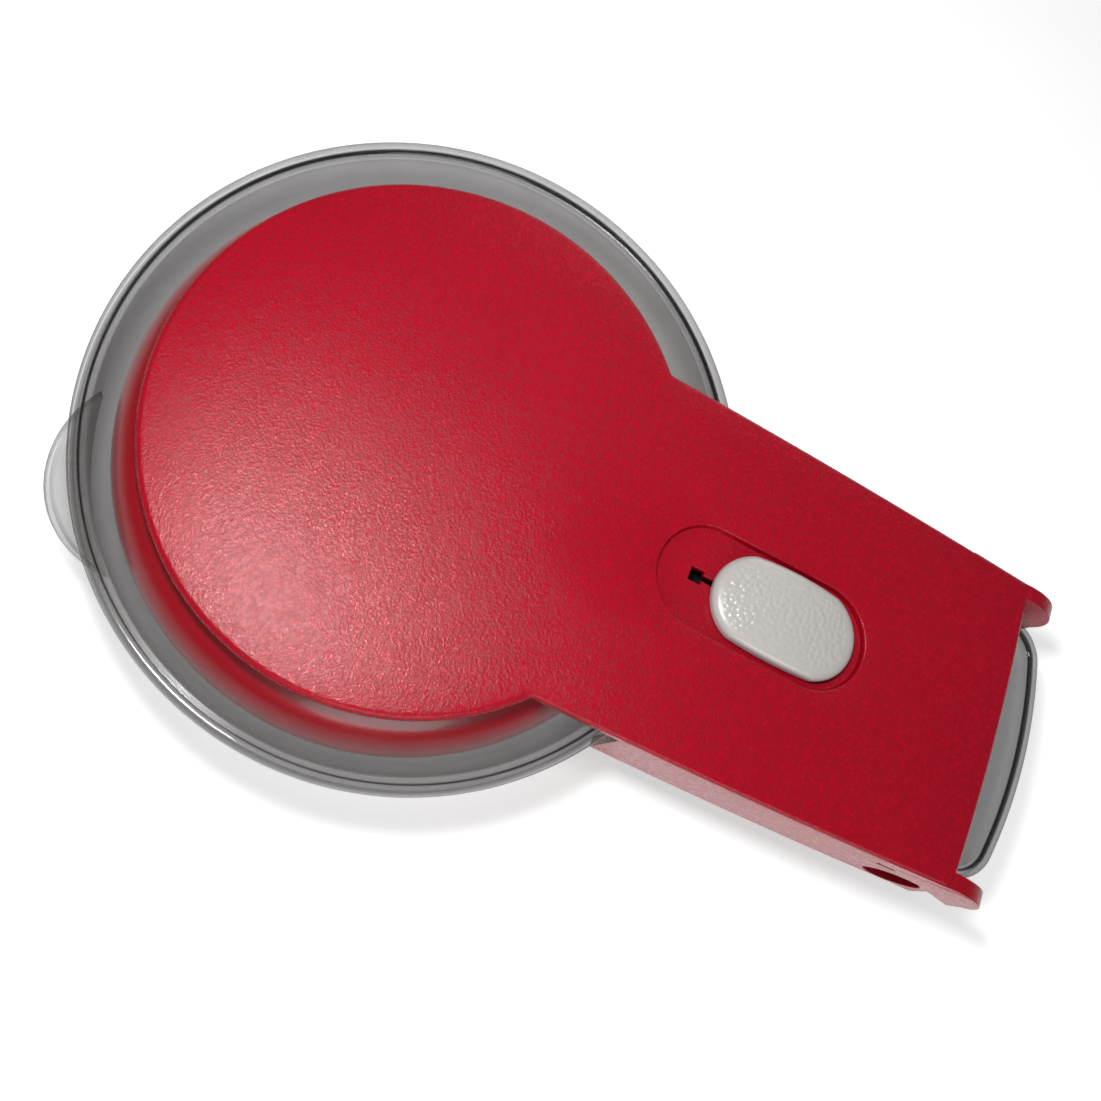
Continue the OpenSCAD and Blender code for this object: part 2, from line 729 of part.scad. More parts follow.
module cutter_spring() color(steel) {
    turns = 3;
    rings = 40;
    rise = 1.5;
    coil = [for (i = [0:rings]) [
        pivot_at[0] + 2.4 * cos(i * (360 * turns + 100) / rings),
        pivot_at[1] + 2.4 * sin(i * (360 * turns + 100) / rings),
        wheel_z + 0.45 + rise * i / rings]];
    leg = pivot_at + [-4.4, 7];
    tube(concat([[pivot_at[0] + 2.4, pivot_at[1] - 7, wheel_z + 0.45]], coil,
        [[leg[0], leg[1] - 2, wheel_z + 0.45 + rise], [leg[0] - 1, leg[1], wheel_z + 0.45 + rise]]),
        0.25, [0, 0, 1], 6);
}

// ---- lid magnet

module magnet_holder() color("dimgray") at(magnet_at, drum_z - magnet_h - 0.9) difference() {
    cylinder(r = magnet_r + holder_wall + seat_gap, h = magnet_h + 0.9);
    translate([0, 0, 0.8]) cylinder(r = magnet_r + seat_gap, h = magnet_h + 1);
    translate([0, 0, -1]) cylinder(r = magnet_r - 1.5, h = 5);
}

module lid_magnet() color("silver") at(magnet_at, drum_z - magnet_h - 0.05)
    cylinder(r = magnet_r, h = magnet_h);

// ---- fasteners

module screw(r, l, head_r, head_h) {
    cylinder(r = r, h = l, $fn = 32);
    translate([0, 0, l - 0.01]) difference() {
        cylinder(r = head_r, h = head_h, $fn = 48);
        for (a = [0, 90]) rotate([0, 0, a]) translate([-head_r * 0.6, -0.25, head_h - 0.5])
            cube([head_r * 1.2, 0.5, 1]);
    }
}

module cover_screws() color(steel) for (p = cover_screw_at)
    at(p, drum_z + 1.98) mirror([0, 0, 1]) translate([0, 0, -7.98]) screw(1.2, 8, 2.4, 1.5);

module gear_plate_screws() color(steel) for (p = plate_screw_at)
    at(p, gear_plate_z + gear_plate_t + 0.02) translate([0, 0, -5]) screw(1, 5, 2, 1.1);

module motor_screws() color(steel) for (s = [-1, 1])
    at(motor_at + [s * motor_screw_r, 0], gear_plate_z - 0.02) mirror([0, 0, 1])
        translate([0, 0, -1.9]) screw(0.8, 1.9, 1.5, 0.35);

// ---- leads

module motor_lead() color("crimson")
    tube([[motor_at[0] + 14.4, motor_at[1] + 4, 28.2], [34, 0, 27.4], [39, -2.5, 27.6],
          [44, -5, 28.5], [48, -6.8, 28.9], [box_x0 - 3.2, -cell_y - 0.1, leaf_z + 0.4]],
        wire_r, [0, 0, 1]);

module battery_lead() color("black")
    tube([[motor_at[0] + 14.4, motor_at[1] - 4, 28.2], [34, -9.5, 27.6], [40, -11, 28.0],
          [46, -11.6, 28.6], [box_x0 - 0.8, -cell_y - 3.5, 28.4]], wire_r, [0, 0, 1]);

clear_bowl();
top_cover();
lower_housing();
battery_door();
slide_button();
button_slider();
contact_bridge();
positive_contact();
negative_contact();
rear_contact();
switch_contact();
battery_springs();
battery_left();
battery_right();
motor_can();
motor_end_cap();
motor_magnets();
motor_armature();
motor_shaft();
motor_pinion();
gear_plate();
first_gear();
first_gear_axle();
second_gear();
second_gear_axle();
output_gear();
drive_shaft();
drive_bush();
plate_bush();
drive_wheel();
wheel_screw();
cutter_arm();
cutter_axle();
cutter_wheel();
cutter_pivot();
cutter_spring();
magnet_holder();
lid_magnet();
cover_screws();
gear_plate_screws();
motor_screws();
motor_lead();
battery_lead();
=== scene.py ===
"""Looks of a hinged battery can opener: a red head with a slide switch, in a clear moulded bowl."""

import json
import logging
import math
from collections.abc import Callable
from dataclasses import dataclass
from enum import Enum

import bmesh
import bpy
import numpy as np
from mathutils import Matrix, Vector

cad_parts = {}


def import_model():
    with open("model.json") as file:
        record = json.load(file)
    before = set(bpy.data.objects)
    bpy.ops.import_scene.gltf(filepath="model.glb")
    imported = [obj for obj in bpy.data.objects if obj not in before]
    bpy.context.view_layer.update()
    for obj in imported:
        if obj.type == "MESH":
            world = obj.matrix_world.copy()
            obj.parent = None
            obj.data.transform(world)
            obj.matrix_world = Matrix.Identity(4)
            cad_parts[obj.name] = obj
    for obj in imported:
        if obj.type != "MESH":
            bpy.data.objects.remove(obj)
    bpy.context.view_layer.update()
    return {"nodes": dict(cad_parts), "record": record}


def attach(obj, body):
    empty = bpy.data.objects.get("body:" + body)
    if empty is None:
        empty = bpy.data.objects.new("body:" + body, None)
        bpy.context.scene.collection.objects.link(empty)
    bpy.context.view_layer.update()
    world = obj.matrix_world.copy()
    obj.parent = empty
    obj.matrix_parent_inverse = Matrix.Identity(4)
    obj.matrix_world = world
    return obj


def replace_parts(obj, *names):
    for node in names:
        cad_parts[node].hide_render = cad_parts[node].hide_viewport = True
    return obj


LOG = logging.getLogger("can_opener")
MM = 0.001
# the attribute that carries painted shade lines along the clear bowl's rim steps
PAINTED_EDGE_SHADE = "painted_edge_shade"
WELD_M = 2e-6
SLIVER_M = 1e-7
TINY = 1e-9
MIX_FIRST, MIX_SECOND, MIX_RESULT = 6, 7, 2
CREASE_DEG = 32.0
WHITE = (1.0, 1.0, 1.0)
UNIT_SCALE = (1.0, 1.0, 1.0)
Pair = tuple[float, float]
Triple = tuple[float, float, float]


# ---- shader building


def operator(operation: str, reflected: bool = False) -> Callable[..., "Signal"]:
    """Makes one of a signal's operators.

    Args:
        operation: the Math node's operation.
        reflected: whether the other value comes first.

    Returns:
        A method that adds one Math node and gives its result.
    """
    def apply(signal: "Signal", other: "Signal | float") -> "Signal":
        """The result of the operation with a value or another signal."""
        pair = (other, signal) if reflected else (signal, other)
        return signal.graph.node("ShaderNodeMath", {"operation": operation}, dict(enumerate(pair)))
    return apply


class Signal:
    """A node output that takes part in arithmetic: each operator adds one Math node."""

    __add__, __radd__ = operator("ADD"), operator("ADD", True)
    __sub__, __rsub__ = operator("SUBTRACT"), operator("SUBTRACT", True)
    __mul__, __rmul__ = operator("MULTIPLY"), operator("MULTIPLY", True)
    __pow__ = operator("POWER")

    def __init__(self, graph: "Graph", socket: bpy.types.NodeSocket) -> None:
        """Keeps the graph and the output socket that the value comes from.

        Args:
            graph: the graph that new Math nodes go into.
            socket: the node output that carries the value.
        """
        self.graph = graph
        self.socket = socket


class Graph:
    """A material's node tree, filled through one generic node method."""

    def __init__(self, name: str) -> None:
        """Makes an empty material with a Principled shader and an output.

        Args:
            name: the material's name.
        """
        self.material = bpy.data.materials.new(name)
        self.material.use_nodes = True
        self.tree = self.material.node_tree
        self.tree.nodes.clear()
        self.output = self.tree.nodes.new("ShaderNodeOutputMaterial")
        self.shader = self.tree.nodes.new("ShaderNodeBsdfPrincipled")
        self.tree.links.new(self.shader.outputs[0], self.output.inputs["Surface"])

    def plug(self, socket: bpy.types.NodeSocket, value: object) -> None:
        """Sets a socket to a number or colour, or links a signal to it.

        Args:
            socket: the input that is set or linked.
            value: a signal, a number, a vector or a colour of three channels.
        """
        if isinstance(value, Signal):
            self.tree.links.new(value.socket, socket)
        elif isinstance(value, tuple) and len(value) == 3 and socket.type == "RGBA":
            socket.default_value = (*value, 1.0)
        else:
            socket.default_value = value

    def node(self, kind: str, settings: dict | None = None, inputs: dict | None = None,
             output: str | int = 0) -> Signal:
        """Adds any node.

        Args:
            kind: the node's type name.
            settings: its properties, set before its sockets.
            inputs: values or signals by socket name or number.
            output: the output that is wanted.

        Returns:
            That output as a signal.
        """
        made = self.tree.nodes.new(kind)
        for key, value in (settings or {}).items():
            setattr(made, key, value)
        for key, value in (inputs or {}).items():
            self.plug(made.inputs[key], value)
        return Signal(self, made.outputs[output])

    def place(self, scale: Triple = UNIT_SCALE) -> Signal:
        """Object coordinates in metres.

        Args:
            scale: how much the pattern is stretched on each axis.

        Returns:
            The coordinates, through a Mapping node only where they are stretched.
        """
        where = self.node("ShaderNodeTexCoord", output="Object")
        if scale == UNIT_SCALE:
            return where
        return self.node("ShaderNodeMapping", inputs={"Vector": where, "Scale": scale})

    def noise(self, size_mm: float, detail: float = 2.0, scale: Triple = UNIT_SCALE) -> Signal:
        """Noise whose lumps are about size_mm across, with more detail for finer lumps."""
        return self.node("ShaderNodeTexNoise", None, {
            "Vector": self.place(scale), "Scale": 1.0 / (size_mm * MM), "Detail": detail})

    def cells(self, size_mm: float, output: str = "Distance") -> Signal:
        """Voronoi cells about size_mm across."""
        return self.node("ShaderNodeTexVoronoi", None, {
            "Vector": self.place(), "Scale": 1.0 / (size_mm * MM)}, output)

    def blend(self, amount: "Signal | float", first: Triple, second: Triple) -> Signal:
        """A colour between two colours.

        Args:
            amount: 0 gives the first colour and 1 the second.
            first: linear colour.
            second: linear colour.

        Returns:
            The mixed colour.
        """
        return self.node("ShaderNodeMix", {"data_type": "RGBA"}, {
            "Factor": amount, MIX_FIRST: first, MIX_SECOND: second}, MIX_RESULT)

    def bump(self, height: Signal, depth_mm: float) -> Signal:
        """A normal from a height signal whose full swing is depth_mm."""
        return self.node("ShaderNodeBump", None, {
            "Height": height, "Distance": depth_mm * MM, "Strength": 1.0}, "Normal")

    def finish(self, **sockets: object) -> bpy.types.Material:
        """Sets the Principled shader's sockets.

        Args:
            sockets: values or signals by socket name, with underscores for spaces.

        Returns:
            The finished material.
        """
        for key, value in sockets.items():
            self.plug(self.shader.inputs[key.replace("_", " ")], value)
        return self.material


def paint(red: int, green: int, blue: int) -> Triple:
    """A display colour of three bytes as linear light.

    Args:
        red: 0 to 255.
        green: 0 to 255.
        blue: 0 to 255.

    Returns:
        The three linear channels, by the standard curve: a line near black and a power above it.
    """
    def linear(byte: int) -> float:
        """One channel on the standard curve."""
        share = byte / 255
        return share / 12.92 if share <= 0.04045 else ((share + 0.055) / 1.055) ** 2.4
    return linear(red), linear(green), linear(blue)


def shade(colour: Triple, by: float) -> Triple:
    """A colour with each channel multiplied by one number."""
    return colour[0] * by, colour[1] * by, colour[2] * by


# ---- finishes


@dataclass(frozen=True)
class Moulded:
    """Moulded opaque plastic with a fine tool grain.

    The colour drifts slightly over a few centimetres, the roughness follows the grain, and the
    bump is the sum of the grain and a slower flow unevenness.
    """

    colour: Triple
    roughness: float = 0.4
    grain_mm: float = 0.3
    grain_depth_mm: float = 0.01
    drift: float = 0.06
    coat: float = 0.0
    coat_roughness: float = 0.1
    spread: float = 0.12
    drift_mm: float = 16.0
    flow: float = 2.0

    def build(self, name: str) -> bpy.types.Material:
        """Makes the material under that name."""
        g = Graph(name)
        grain = g.noise(self.grain_mm, 3.0)
        slow = g.noise(self.drift_mm)
        return g.finish(
            Base_Color=g.blend(slow, shade(self.colour, 1 - self.drift),
                               shade(self.colour, 1 + self.drift)),
            Roughness=(grain - 0.5) * self.spread + self.roughness,
            Coat_Weight=self.coat, Coat_Roughness=self.coat_roughness,
            Normal=g.bump(grain + slow * self.flow, self.grain_depth_mm))


@dataclass(frozen=True)
class SparkRed:
    """Matte red head: a fine etched grain in which single facets catch the light.

    Each small cell has its own roughness and a painted brightness: the brightest cells are painted
    glints in the base colour, so the lamp's reflection breaks up into sparkle, and the bump is the
    cells' domes plus fine noise.
    """

    colour: Triple
    cell_mm: float = 0.5
    roughness: float = 0.26
    specular: float = 0.25
    dark: float = 0.88
    # light: how much brighter the painted glint cells are, as a multiple of the colour
    light: float = 1.5
    fine_mm: float = 0.16
    slow_mm: float = 22.0
    dome: float = 0.8
    depth_mm: float = 0.042

    def build(self, name: str) -> bpy.types.Material:
        """Makes the material under that name."""
        g = Graph(name)
        cells = g.cells(self.cell_mm, output="Color")
        facet = g.node("ShaderNodeSeparateColor", None, {"Color": cells}, "Red")
        fine = g.noise(self.fine_mm)
        slow = g.noise(self.slow_mm)
        # painted glints: the brightest cells lifted in the base colour, plus a slow random tone
        # drift
        painted_glint_and_drift = facet ** 3.0 * 0.55 + slow * 0.3
        return g.finish(
            Base_Color=g.blend(painted_glint_and_drift, shade(self.colour, self.dark), shade(self.colour, self.light)),
            Roughness=facet ** 2.0 * -0.16 + fine * 0.1 + self.roughness,
            Specular_IOR_Level=self.specular,
            Normal=g.bump(g.cells(self.cell_mm) * self.dome + fine, self.depth_mm))


@dataclass(frozen=True)
class ClearShell:
    """Smoke-clear styrene: thin to look through, denser where the wall is seen along its edge, and
    dark along painted shade lines at the rim's steps, where clear plastic looks dark by refraction.
    """

    colour: Triple
    face_alpha: float = 0.25
    edge_alpha: float = 0.92
    shade_line_alpha: float = 0.95
    roughness: float = 0.07
    edge_blend: float = 0.35
    edge_tone: float = 0.55
    shade_line_tone: float = 0.04
    haze_mm: float = 9.0
    haze_swing: float = 0.05
    ripple_mm: float = 14.0
    ripple_depth_mm: float = 0.05
    index: float = 1.58

    def build(self, name: str) -> bpy.types.Material:
        """Makes the material under that name."""
        g = Graph(name)
        edge = g.node("ShaderNodeLayerWeight", None, {"Blend": self.edge_blend}, "Facing")
        # painted shade: dark opaque lines along the rim's steps, standing in for the darkness
        # refraction gives clear plastic there
        line = g.node("ShaderNodeAttribute", {"attribute_name": PAINTED_EDGE_SHADE}, output="Fac")
        haze = g.noise(self.haze_mm, 3.0)
        swing = (haze - 0.5) * self.haze_swing
        alpha = edge * (self.edge_alpha - self.face_alpha) + swing + self.face_alpha
        tone = g.blend(edge, self.colour, shade(self.colour, self.edge_tone))
        return g.finish(
            Base_Color=g.blend(line, tone, shade(self.colour, self.shade_line_tone)),
            Roughness=haze * 0.06 + self.roughness,
            Alpha=alpha + line * (self.shade_line_alpha - alpha), IOR=self.index,
            Normal=g.bump(g.noise(self.ripple_mm, 1.0), self.ripple_depth_mm))


@dataclass(frozen=True)
class Metal:
    """Bare or plated metal with fine drawn lines and slight tarnish."""

    colour: Triple
    roughness: float = 0.28
    line_mm: float = 0.12
    stretch: Triple = (0.12, 1.0, 1.0)
    tarnish_mm: float = 5.0
    tarnish_tone: float = 0.8
    line_depth_mm: float = 0.006

    def build(self, name: str) -> bpy.types.Material:
        """Makes the material under that name."""
        g = Graph(name)
        lines = g.noise(self.line_mm, 2.0, self.stretch)
        tarnish = g.noise(self.tarnish_mm, 4.0)
        return g.finish(
            Base_Color=g.blend(tarnish, shade(self.colour, self.tarnish_tone), self.colour),
            Metallic=1.0,
            Roughness=lines * 0.14 + tarnish * 0.12 + (self.roughness - 0.1),
            Normal=g.bump(lines, self.line_depth_mm))


@dataclass(frozen=True)
class Wound:
    """Enamelled copper winding: close turns along one axis, with painted shade in the gaps between
    turns.
    """

    colour: Triple
    turn_mm: float = 0.5
    gap_shade: float = 0.45
    wander: float = 0.4
    depth_mm: float = 0.12

    def build(self, name: str) -> bpy.types.Material:
        """Makes the material under that name."""
        g = Graph(name)
        turns = g.node("ShaderNodeTexWave", {"wave_type": "BANDS", "bands_direction": "Z"}, {
            "Vector": g.place(), "Scale": 0.5 / (self.turn_mm * MM),
            "Distortion": self.wander})
        # painted shade: the copper is darkened in the gaps between turns
        return g.finish(
            Base_Color=g.blend(turns, shade(self.colour, self.gap_shade), self.colour),
            Metallic=0.85, Roughness=0.34, Normal=g.bump(turns, self.depth_mm))


@dataclass(frozen=True)
class CellSleeve:
    """Plain printed battery sleeve in two tones, split across the cell at one X."""

    body: Triple
    band: Triple
    split_mm: float
    scuff_mm: float = 2.5
    scuff_depth_mm: float = 0.02

    def build(self, name: str) -> bpy.types.Material:
        """Makes the material under that name."""
        g = Graph(name)
        along = g.node("ShaderNodeSeparateXYZ", None, {"Vector": g.place()}, "X")
        side = g.node("ShaderNodeMath", {"operation": "GREATER_THAN"},
                      {0: along, 1: self.split_mm * MM})
        scuff = g.noise(self.scuff_mm, 4.0)
        return g.finish(
            Base_Color=g.blend(side, self.body, self.band),
            Metallic=0.25, Roughness=scuff * 0.2 + 0.2, Coat_Weight=0.4,
            Normal=g.bump(scuff, self.scuff_depth_mm))


class Slot(Enum):
    """The record's material slots, by the part of the object that they finish."""

    CLEAR = "clear_plastic"
    HEAD = "red_matte"
    DRUM = "red_gloss"
    BUTTON = "white_button"
    IVORY = "ivory_plastic"
    GEARS = "gear_nylon"
    BLACK = "black_plastic"
    CELLS = "cell_jacket"
    BRASS = "spring_brass"
    BRIGHT = "bright_steel"
    PLATED = "plated_steel"
    HARD = "hard_steel"
    NICKEL = "nickel_magnet"
    FERRITE = "ferrite"
    COPPER = "copper_winding"
    RED_LEAD = "red_lead"
    BLACK_LEAD = "black_lead"


FINISHES = {
    Slot.CLEAR: ClearShell(paint(88, 86, 84)),
    Slot.HEAD: SparkRed(paint(141, 3, 25)),
    Slot.DRUM: Moulded(paint(138, 3, 20), roughness=0.3, grain_mm=0.8, grain_depth_mm=0.006,
                       drift=0.05, coat=0.22, spread=0.06),
    Slot.BUTTON: Moulded(paint(168, 165, 161), roughness=0.3, grain_mm=0.35, grain_depth_mm=0.02,
                         drift=0.03, coat=0.35, coat_roughness=0.12, spread=0.1),
    Slot.IVORY: Moulded(paint(232, 226, 208), roughness=0.45, grain_depth_mm=0.02, drift=0.04),
    Slot.GEARS: Moulded(paint(226, 222, 206), roughness=0.38, grain_mm=0.25, grain_depth_mm=0.015,
                        drift=0.05, coat=0.15, coat_roughness=0.3),
    Slot.BLACK: Moulded(paint(26, 26, 28), roughness=0.42, grain_mm=0.25, grain_depth_mm=0.02,
                        drift=0.1),
    Slot.CELLS: CellSleeve(paint(42, 44, 48), paint(176, 122, 58), split_mm=78.0),
    Slot.BRASS: Metal(paint(214, 178, 98), roughness=0.3),
    Slot.BRIGHT: Metal(paint(206, 208, 212), roughness=0.22),
    Slot.PLATED: Metal(paint(188, 190, 192), roughness=0.3),
    Slot.HARD: Metal(paint(168, 170, 174), roughness=0.26, line_mm=0.08, stretch=(1.0, 0.1, 1.0)),
    Slot.NICKEL: Metal(paint(204, 202, 194), roughness=0.16, line_mm=0.3),
    Slot.FERRITE: Moulded(paint(48, 46, 46), roughness=0.6, grain_mm=0.2, grain_depth_mm=0.03,
                          drift=0.15),
    Slot.COPPER: Wound(paint(196, 98, 52)),
    Slot.RED_LEAD: Moulded(paint(190, 24, 22), grain_mm=0.2, drift=0.05),
    Slot.BLACK_LEAD: Moulded(paint(24, 24, 26), grain_mm=0.2, drift=0.05),
}


class Dresser:
    """Makes each slot's material once and puts it on pieces."""

    def __init__(self) -> None:
        """Starts with no material made."""
        self.made: dict[Slot, bpy.types.Material] = {}

    def material(self, slot: Slot) -> bpy.types.Material:
        """The slot's material, made the first time it is asked for."""
        if slot not in self.made:
            self.made[slot] = FINISHES[slot].build("finish_" + slot.value)
        return self.made[slot]

    def dress(self, piece: bpy.types.Object, slot: Slot) -> None:
        """Gives a new piece its finish.

        Args:
            piece: the new piece.
            slot: the finish that it takes.
        """
        piece.data.materials.clear()
        piece.data.materials.append(self.material(slot))


# ---- surface building


def grid_faces(rows: int, cols: int, wrap_rows: bool, wrap_cols: bool) -> np.ndarray:
    """Quads of a grid of points, as four index columns.

    Args:
        rows: points along the first parameter.
        cols: points along the second parameter.
        wrap_rows: joins the last row to the first.
        wrap_cols: joins the last column to the first.

    Returns:
        One row of four point numbers for each quad.
    """
    i = np.arange(rows if wrap_rows else rows - 1)[:, None]
    j = np.arange(cols if wrap_cols else cols - 1)[None, :]
    i2, j2 = (i + 1) % rows, (j + 1) % cols
    return np.stack([i * cols + j, i2 * cols + j, i2 * cols + j2, i * cols + j2], -1).reshape(-1, 4)


class Skin:
    """Gathers grids of points in millimetres and makes them one smooth mesh in metres."""

    def __init__(self) -> None:
        """Starts with no points."""
        self.points: list[np.ndarray] = []
        self.faces: list[np.ndarray] = []
        self.shades: list[np.ndarray] = []
        self.count = 0

    def add(self, grid: np.ndarray, wrap_rows: bool = False, wrap_cols: bool = False,
            dark: np.ndarray | None = None) -> None:
        """Adds a grid of points.

        Args:
            grid: points of shape (rows, columns, 3).
            wrap_rows: joins the last row to the first.
            wrap_cols: joins the last column to the first.
            dark: how dark a painted shade line the surface carries at each column, from 0 to 1.
        """
        rows, cols = grid.shape[:2]
        self.points.append(grid.reshape(-1, 3))
        line = np.zeros(cols) if dark is None else dark
        self.shades.append(np.broadcast_to(line, (rows, cols)).ravel())
        self.faces.append(grid_faces(rows, cols, wrap_rows, wrap_cols) + self.count)
        self.count += rows * cols

    def build(self, name: str, crease_deg: float = CREASE_DEG) -> bpy.types.Object:
        """Merges shared edges, turns faces outwards and shades the mesh.

        Args:
            name: the piece's name.
            crease_deg: edges that bend more than this stay sharp in shading.

        Returns:
            The new object, at the origin.
        """
        mesh = bpy.data.meshes.new(name)
        points = np.concatenate(self.points) * MM
        mesh.from_pydata(points.tolist(), [], np.concatenate(self.faces).tolist())
        line = mesh.attributes.new(PAINTED_EDGE_SHADE, "FLOAT", "POINT")
        line.data.foreach_set("value", np.concatenate(self.shades).astype(np.float32))
        return settle(mesh, name, crease_deg)


def settle(mesh: bpy.types.Mesh, name: str, crease_deg: float) -> bpy.types.Object:
    """Cleans a mesh, points its faces outwards, shades it smooth and links it as an object.

    Args:
        mesh: the mesh in metres.
        name: the object's name.
        crease_deg: edges that bend more than this stay sharp in shading.

    Returns:
        The new object, at the origin.
    """
    work = bmesh.new()
    work.from_mesh(mesh)
    bmesh.ops.remove_doubles(work, verts=work.verts, dist=WELD_M)
    bmesh.ops.dissolve_degenerate(work, edges=work.edges, dist=SLIVER_M)
    bmesh.ops.recalc_face_normals(work, faces=work.faces)
    work.to_mesh(mesh)
    work.free()
    mesh.shade_smooth()
    mesh.set_sharp_from_angle(angle=math.radians(crease_deg))
    piece = bpy.data.objects.new(name, mesh)
    bpy.context.scene.collection.objects.link(piece)
    return piece


def lathe(profile: np.ndarray, steps: int) -> np.ndarray:
    """A profile turned about the Z axis: each point is its radius times a unit direction.

    Args:
        profile: rows of (radius, height).
        steps: points round the full turn.

    Returns:
        Points of shape (steps, profile points, 3).
    """
    turn = np.linspace(0, 2 * math.pi, steps, endpoint=False)[:, None]
    r, z = profile[:, 0][None, :], profile[:, 1][None, :]
    return np.stack([r * np.cos(turn), r * np.sin(turn), z + 0 * turn], -1)


def circle(turn: np.ndarray) -> np.ndarray:
    """Unit directions in a plane at the given angles: (cos, sin)."""
    return np.stack([np.cos(turn), np.sin(turn)], -1)


def unit(vectors: np.ndarray) -> np.ndarray:
    """Each row divided by its length."""
    return vectors / np.linalg.norm(vectors, axis=1, keepdims=True)


def smooth(x: np.ndarray, low: float, high: float) -> np.ndarray:
    """A smooth step from 0 at low to 1 at high: t * t * (3 - 2 t)."""
    t = np.clip((x - low) / (high - low), 0, 1)
    return t * t * (3 - 2 * t)


# ---- the red head


@dataclass
class HeadCover:
    """Round head and broad handle in one moulding, with a recess, side walls and rear ears."""

    disc_r: float = 49.9
    top_z: float = 33.0
    plate_t: float = 2.5
    neck_half_w: float = 32.9
    end_half_w: float = 28.7
    end_x: float = 117.2
    end_sag: float = 1.0
    bulge: float = 0.5
    corner_r: float = 1.8
    edge_r: float = 0.9
    foot_r: float = 0.25
    skirt_x: Pair = (54.3, 104.6)
    skirt_z: float = 12.0
    skirt_t: float = 2.0
    recess_x: Pair = (48.3, 89.3)
    recess_half_w: float = 9.5
    recess_z: float = 31.3
    slab_t: float = 1.4
    slot_x: Pair = (54.9, 77.9)
    slot_half_w: float = 0.55
    key_end_x: float = 57.4
    key_half_w: float = 1.3
    hub_x: float = 56.0
    ring: Pair = (43.8, 45.8)
    ring_z: float = 25.0
    hinge: Pair = (112.6, 18.2)
    hinge_r: float = 5.0
    ear_inner: float = 25.9
    ear_centre: Pair = (116.6, 24.6)
    ear_r: float = 8.4
    ear_reach: float = 7.7
    ear_t: float = 1.0
    ear_bevel: float = 0.08
    mark: tuple[Pair, Pair] = ((105.2, 108.6), (26.3, 27.5))
    ring_steps: int = 240

    @property
    def neck_x(self) -> float:
        """Where the handle's edge meets the round head."""
        return math.sqrt(self.disc_r ** 2 - self.neck_half_w ** 2)

    def edge_y(self, x: np.ndarray | float) -> np.ndarray | float:
        """The handle's half width at x: a straight taper plus a shallow parabola.

        Args:
            x: distance along the handle.

        Returns:
            The half width, of the same shape as x.
        """
        s = (x - self.neck_x) / (self.end_x - self.neck_x)
        taper = self.neck_half_w + (self.end_half_w - self.neck_half_w) * s
        return taper + self.bulge * 4 * s * (1 - s)

    def outline(self) -> tuple[np.ndarray, np.ndarray, np.ndarray]:
        """The plan outline, from the rear edge's middle round by +Y.

        Returns:
            Points, unit normals that point inwards, and a mask that is 1 on the round head.
        """
        bow = (self.end_half_w ** 2 + self.end_sag ** 2) / (2 * self.end_sag)
        y = np.linspace(0, self.end_half_w - self.corner_r, 80)
        rear = np.stack([self.end_x - bow + np.sqrt(bow ** 2 - y ** 2), y], -1)
        corner_x = rear[-1, 0] - self.corner_r
        turn = np.linspace(0, math.pi / 2, 14)[1:-1]
        top = self.edge_y(corner_x)
        corner = np.stack([corner_x + self.corner_r * np.cos(turn),
                           rear[-1, 1] + (top - rear[-1, 1]) * np.sin(turn)], -1)
        near, far, step = *self.skirt_x, 0.02
        x = np.concatenate([np.linspace(corner_x, far + step, 14), [far],
                            np.linspace(far - step, near + step, 60), [near],
                            np.linspace(near - step, self.neck_x, 20)])
        side = np.stack([x, self.edge_y(x)], -1)
        start = math.atan2(self.neck_half_w, self.neck_x)
        turn = np.linspace(start, math.pi, 150)[1:]
        disc = self.disc_r * circle(turn)
        half = np.concatenate([rear, corner, side, disc])
        on_disc = np.concatenate([np.zeros(len(half) - len(disc)), np.ones(len(disc))])
        points = np.concatenate([half, (half * [1, -1])[-2:0:-1]])
        mask = np.concatenate([on_disc, on_disc[-2:0:-1]])
        along = np.roll(points, -1, 0) - np.roll(points, 1, 0)
        return points, unit(np.stack([-along[:, 1], along[:, 0]], -1)), mask

    def around_hub(self, points: np.ndarray, centres: Pair, radius: float) -> np.ndarray:
        """Where rays from the hub towards the outline's points cross a stadium.

        The stadium is every point at radius from the segment between its two centres on the X
        axis, so a ray crosses its flat side at radius / sin, or an end circle by the cosine rule.

        Args:
            points: the outline's points.
            centres: the x of the two end centres.
            radius: half the stadium's width.

        Returns:
            One crossing for each ray.
        """
        ray = unit(points - [self.hub_x, 0])
        flat = radius / np.maximum(np.abs(ray[:, 1]), TINY)
        reach = self.hub_x + flat * ray[:, 0]
        end = np.where(reach > sum(centres) / 2, centres[1], centres[0]) - self.hub_x
        along = end * ray[:, 0]
        bent = along + np.sqrt(np.maximum(along ** 2 - end ** 2 + radius ** 2, 0))
        far = np.where((reach > centres[0]) & (reach < centres[1]), flat, bent)
        return ray * far[:, None] + [self.hub_x, 0]

    def keyhole(self, points: np.ndarray, grow: float) -> np.ndarray:
        """The slot's keyhole outline on the same rays: a slim box joined to a wider one.

        A ray leaves a box at the nearer of its side and end distances, and the union takes the
        farther of the two boxes.

        Args:
            points: the outline's points.
            grow: how much larger the keyhole is on every side.

        Returns:
            One crossing for each ray.
        """
        ray = unit(points - [self.hub_x, 0])

        def box(low: float, high: float, half: float) -> np.ndarray:
            """Distances along the rays to the edge of a box from low to high."""
            side = (half + grow) / np.maximum(np.abs(ray[:, 1]), TINY)
            stop = np.where(ray[:, 0] > 0, high + grow - self.hub_x, self.hub_x - low + grow)
            return np.minimum(side, stop / np.maximum(np.abs(ray[:, 0]), TINY))

        far = np.maximum(box(self.slot_x[0], self.slot_x[1], self.slot_half_w),
                         box(self.slot_x[0], self.key_end_x, self.key_half_w))
        return ray * far[:, None] + [self.hub_x, 0]

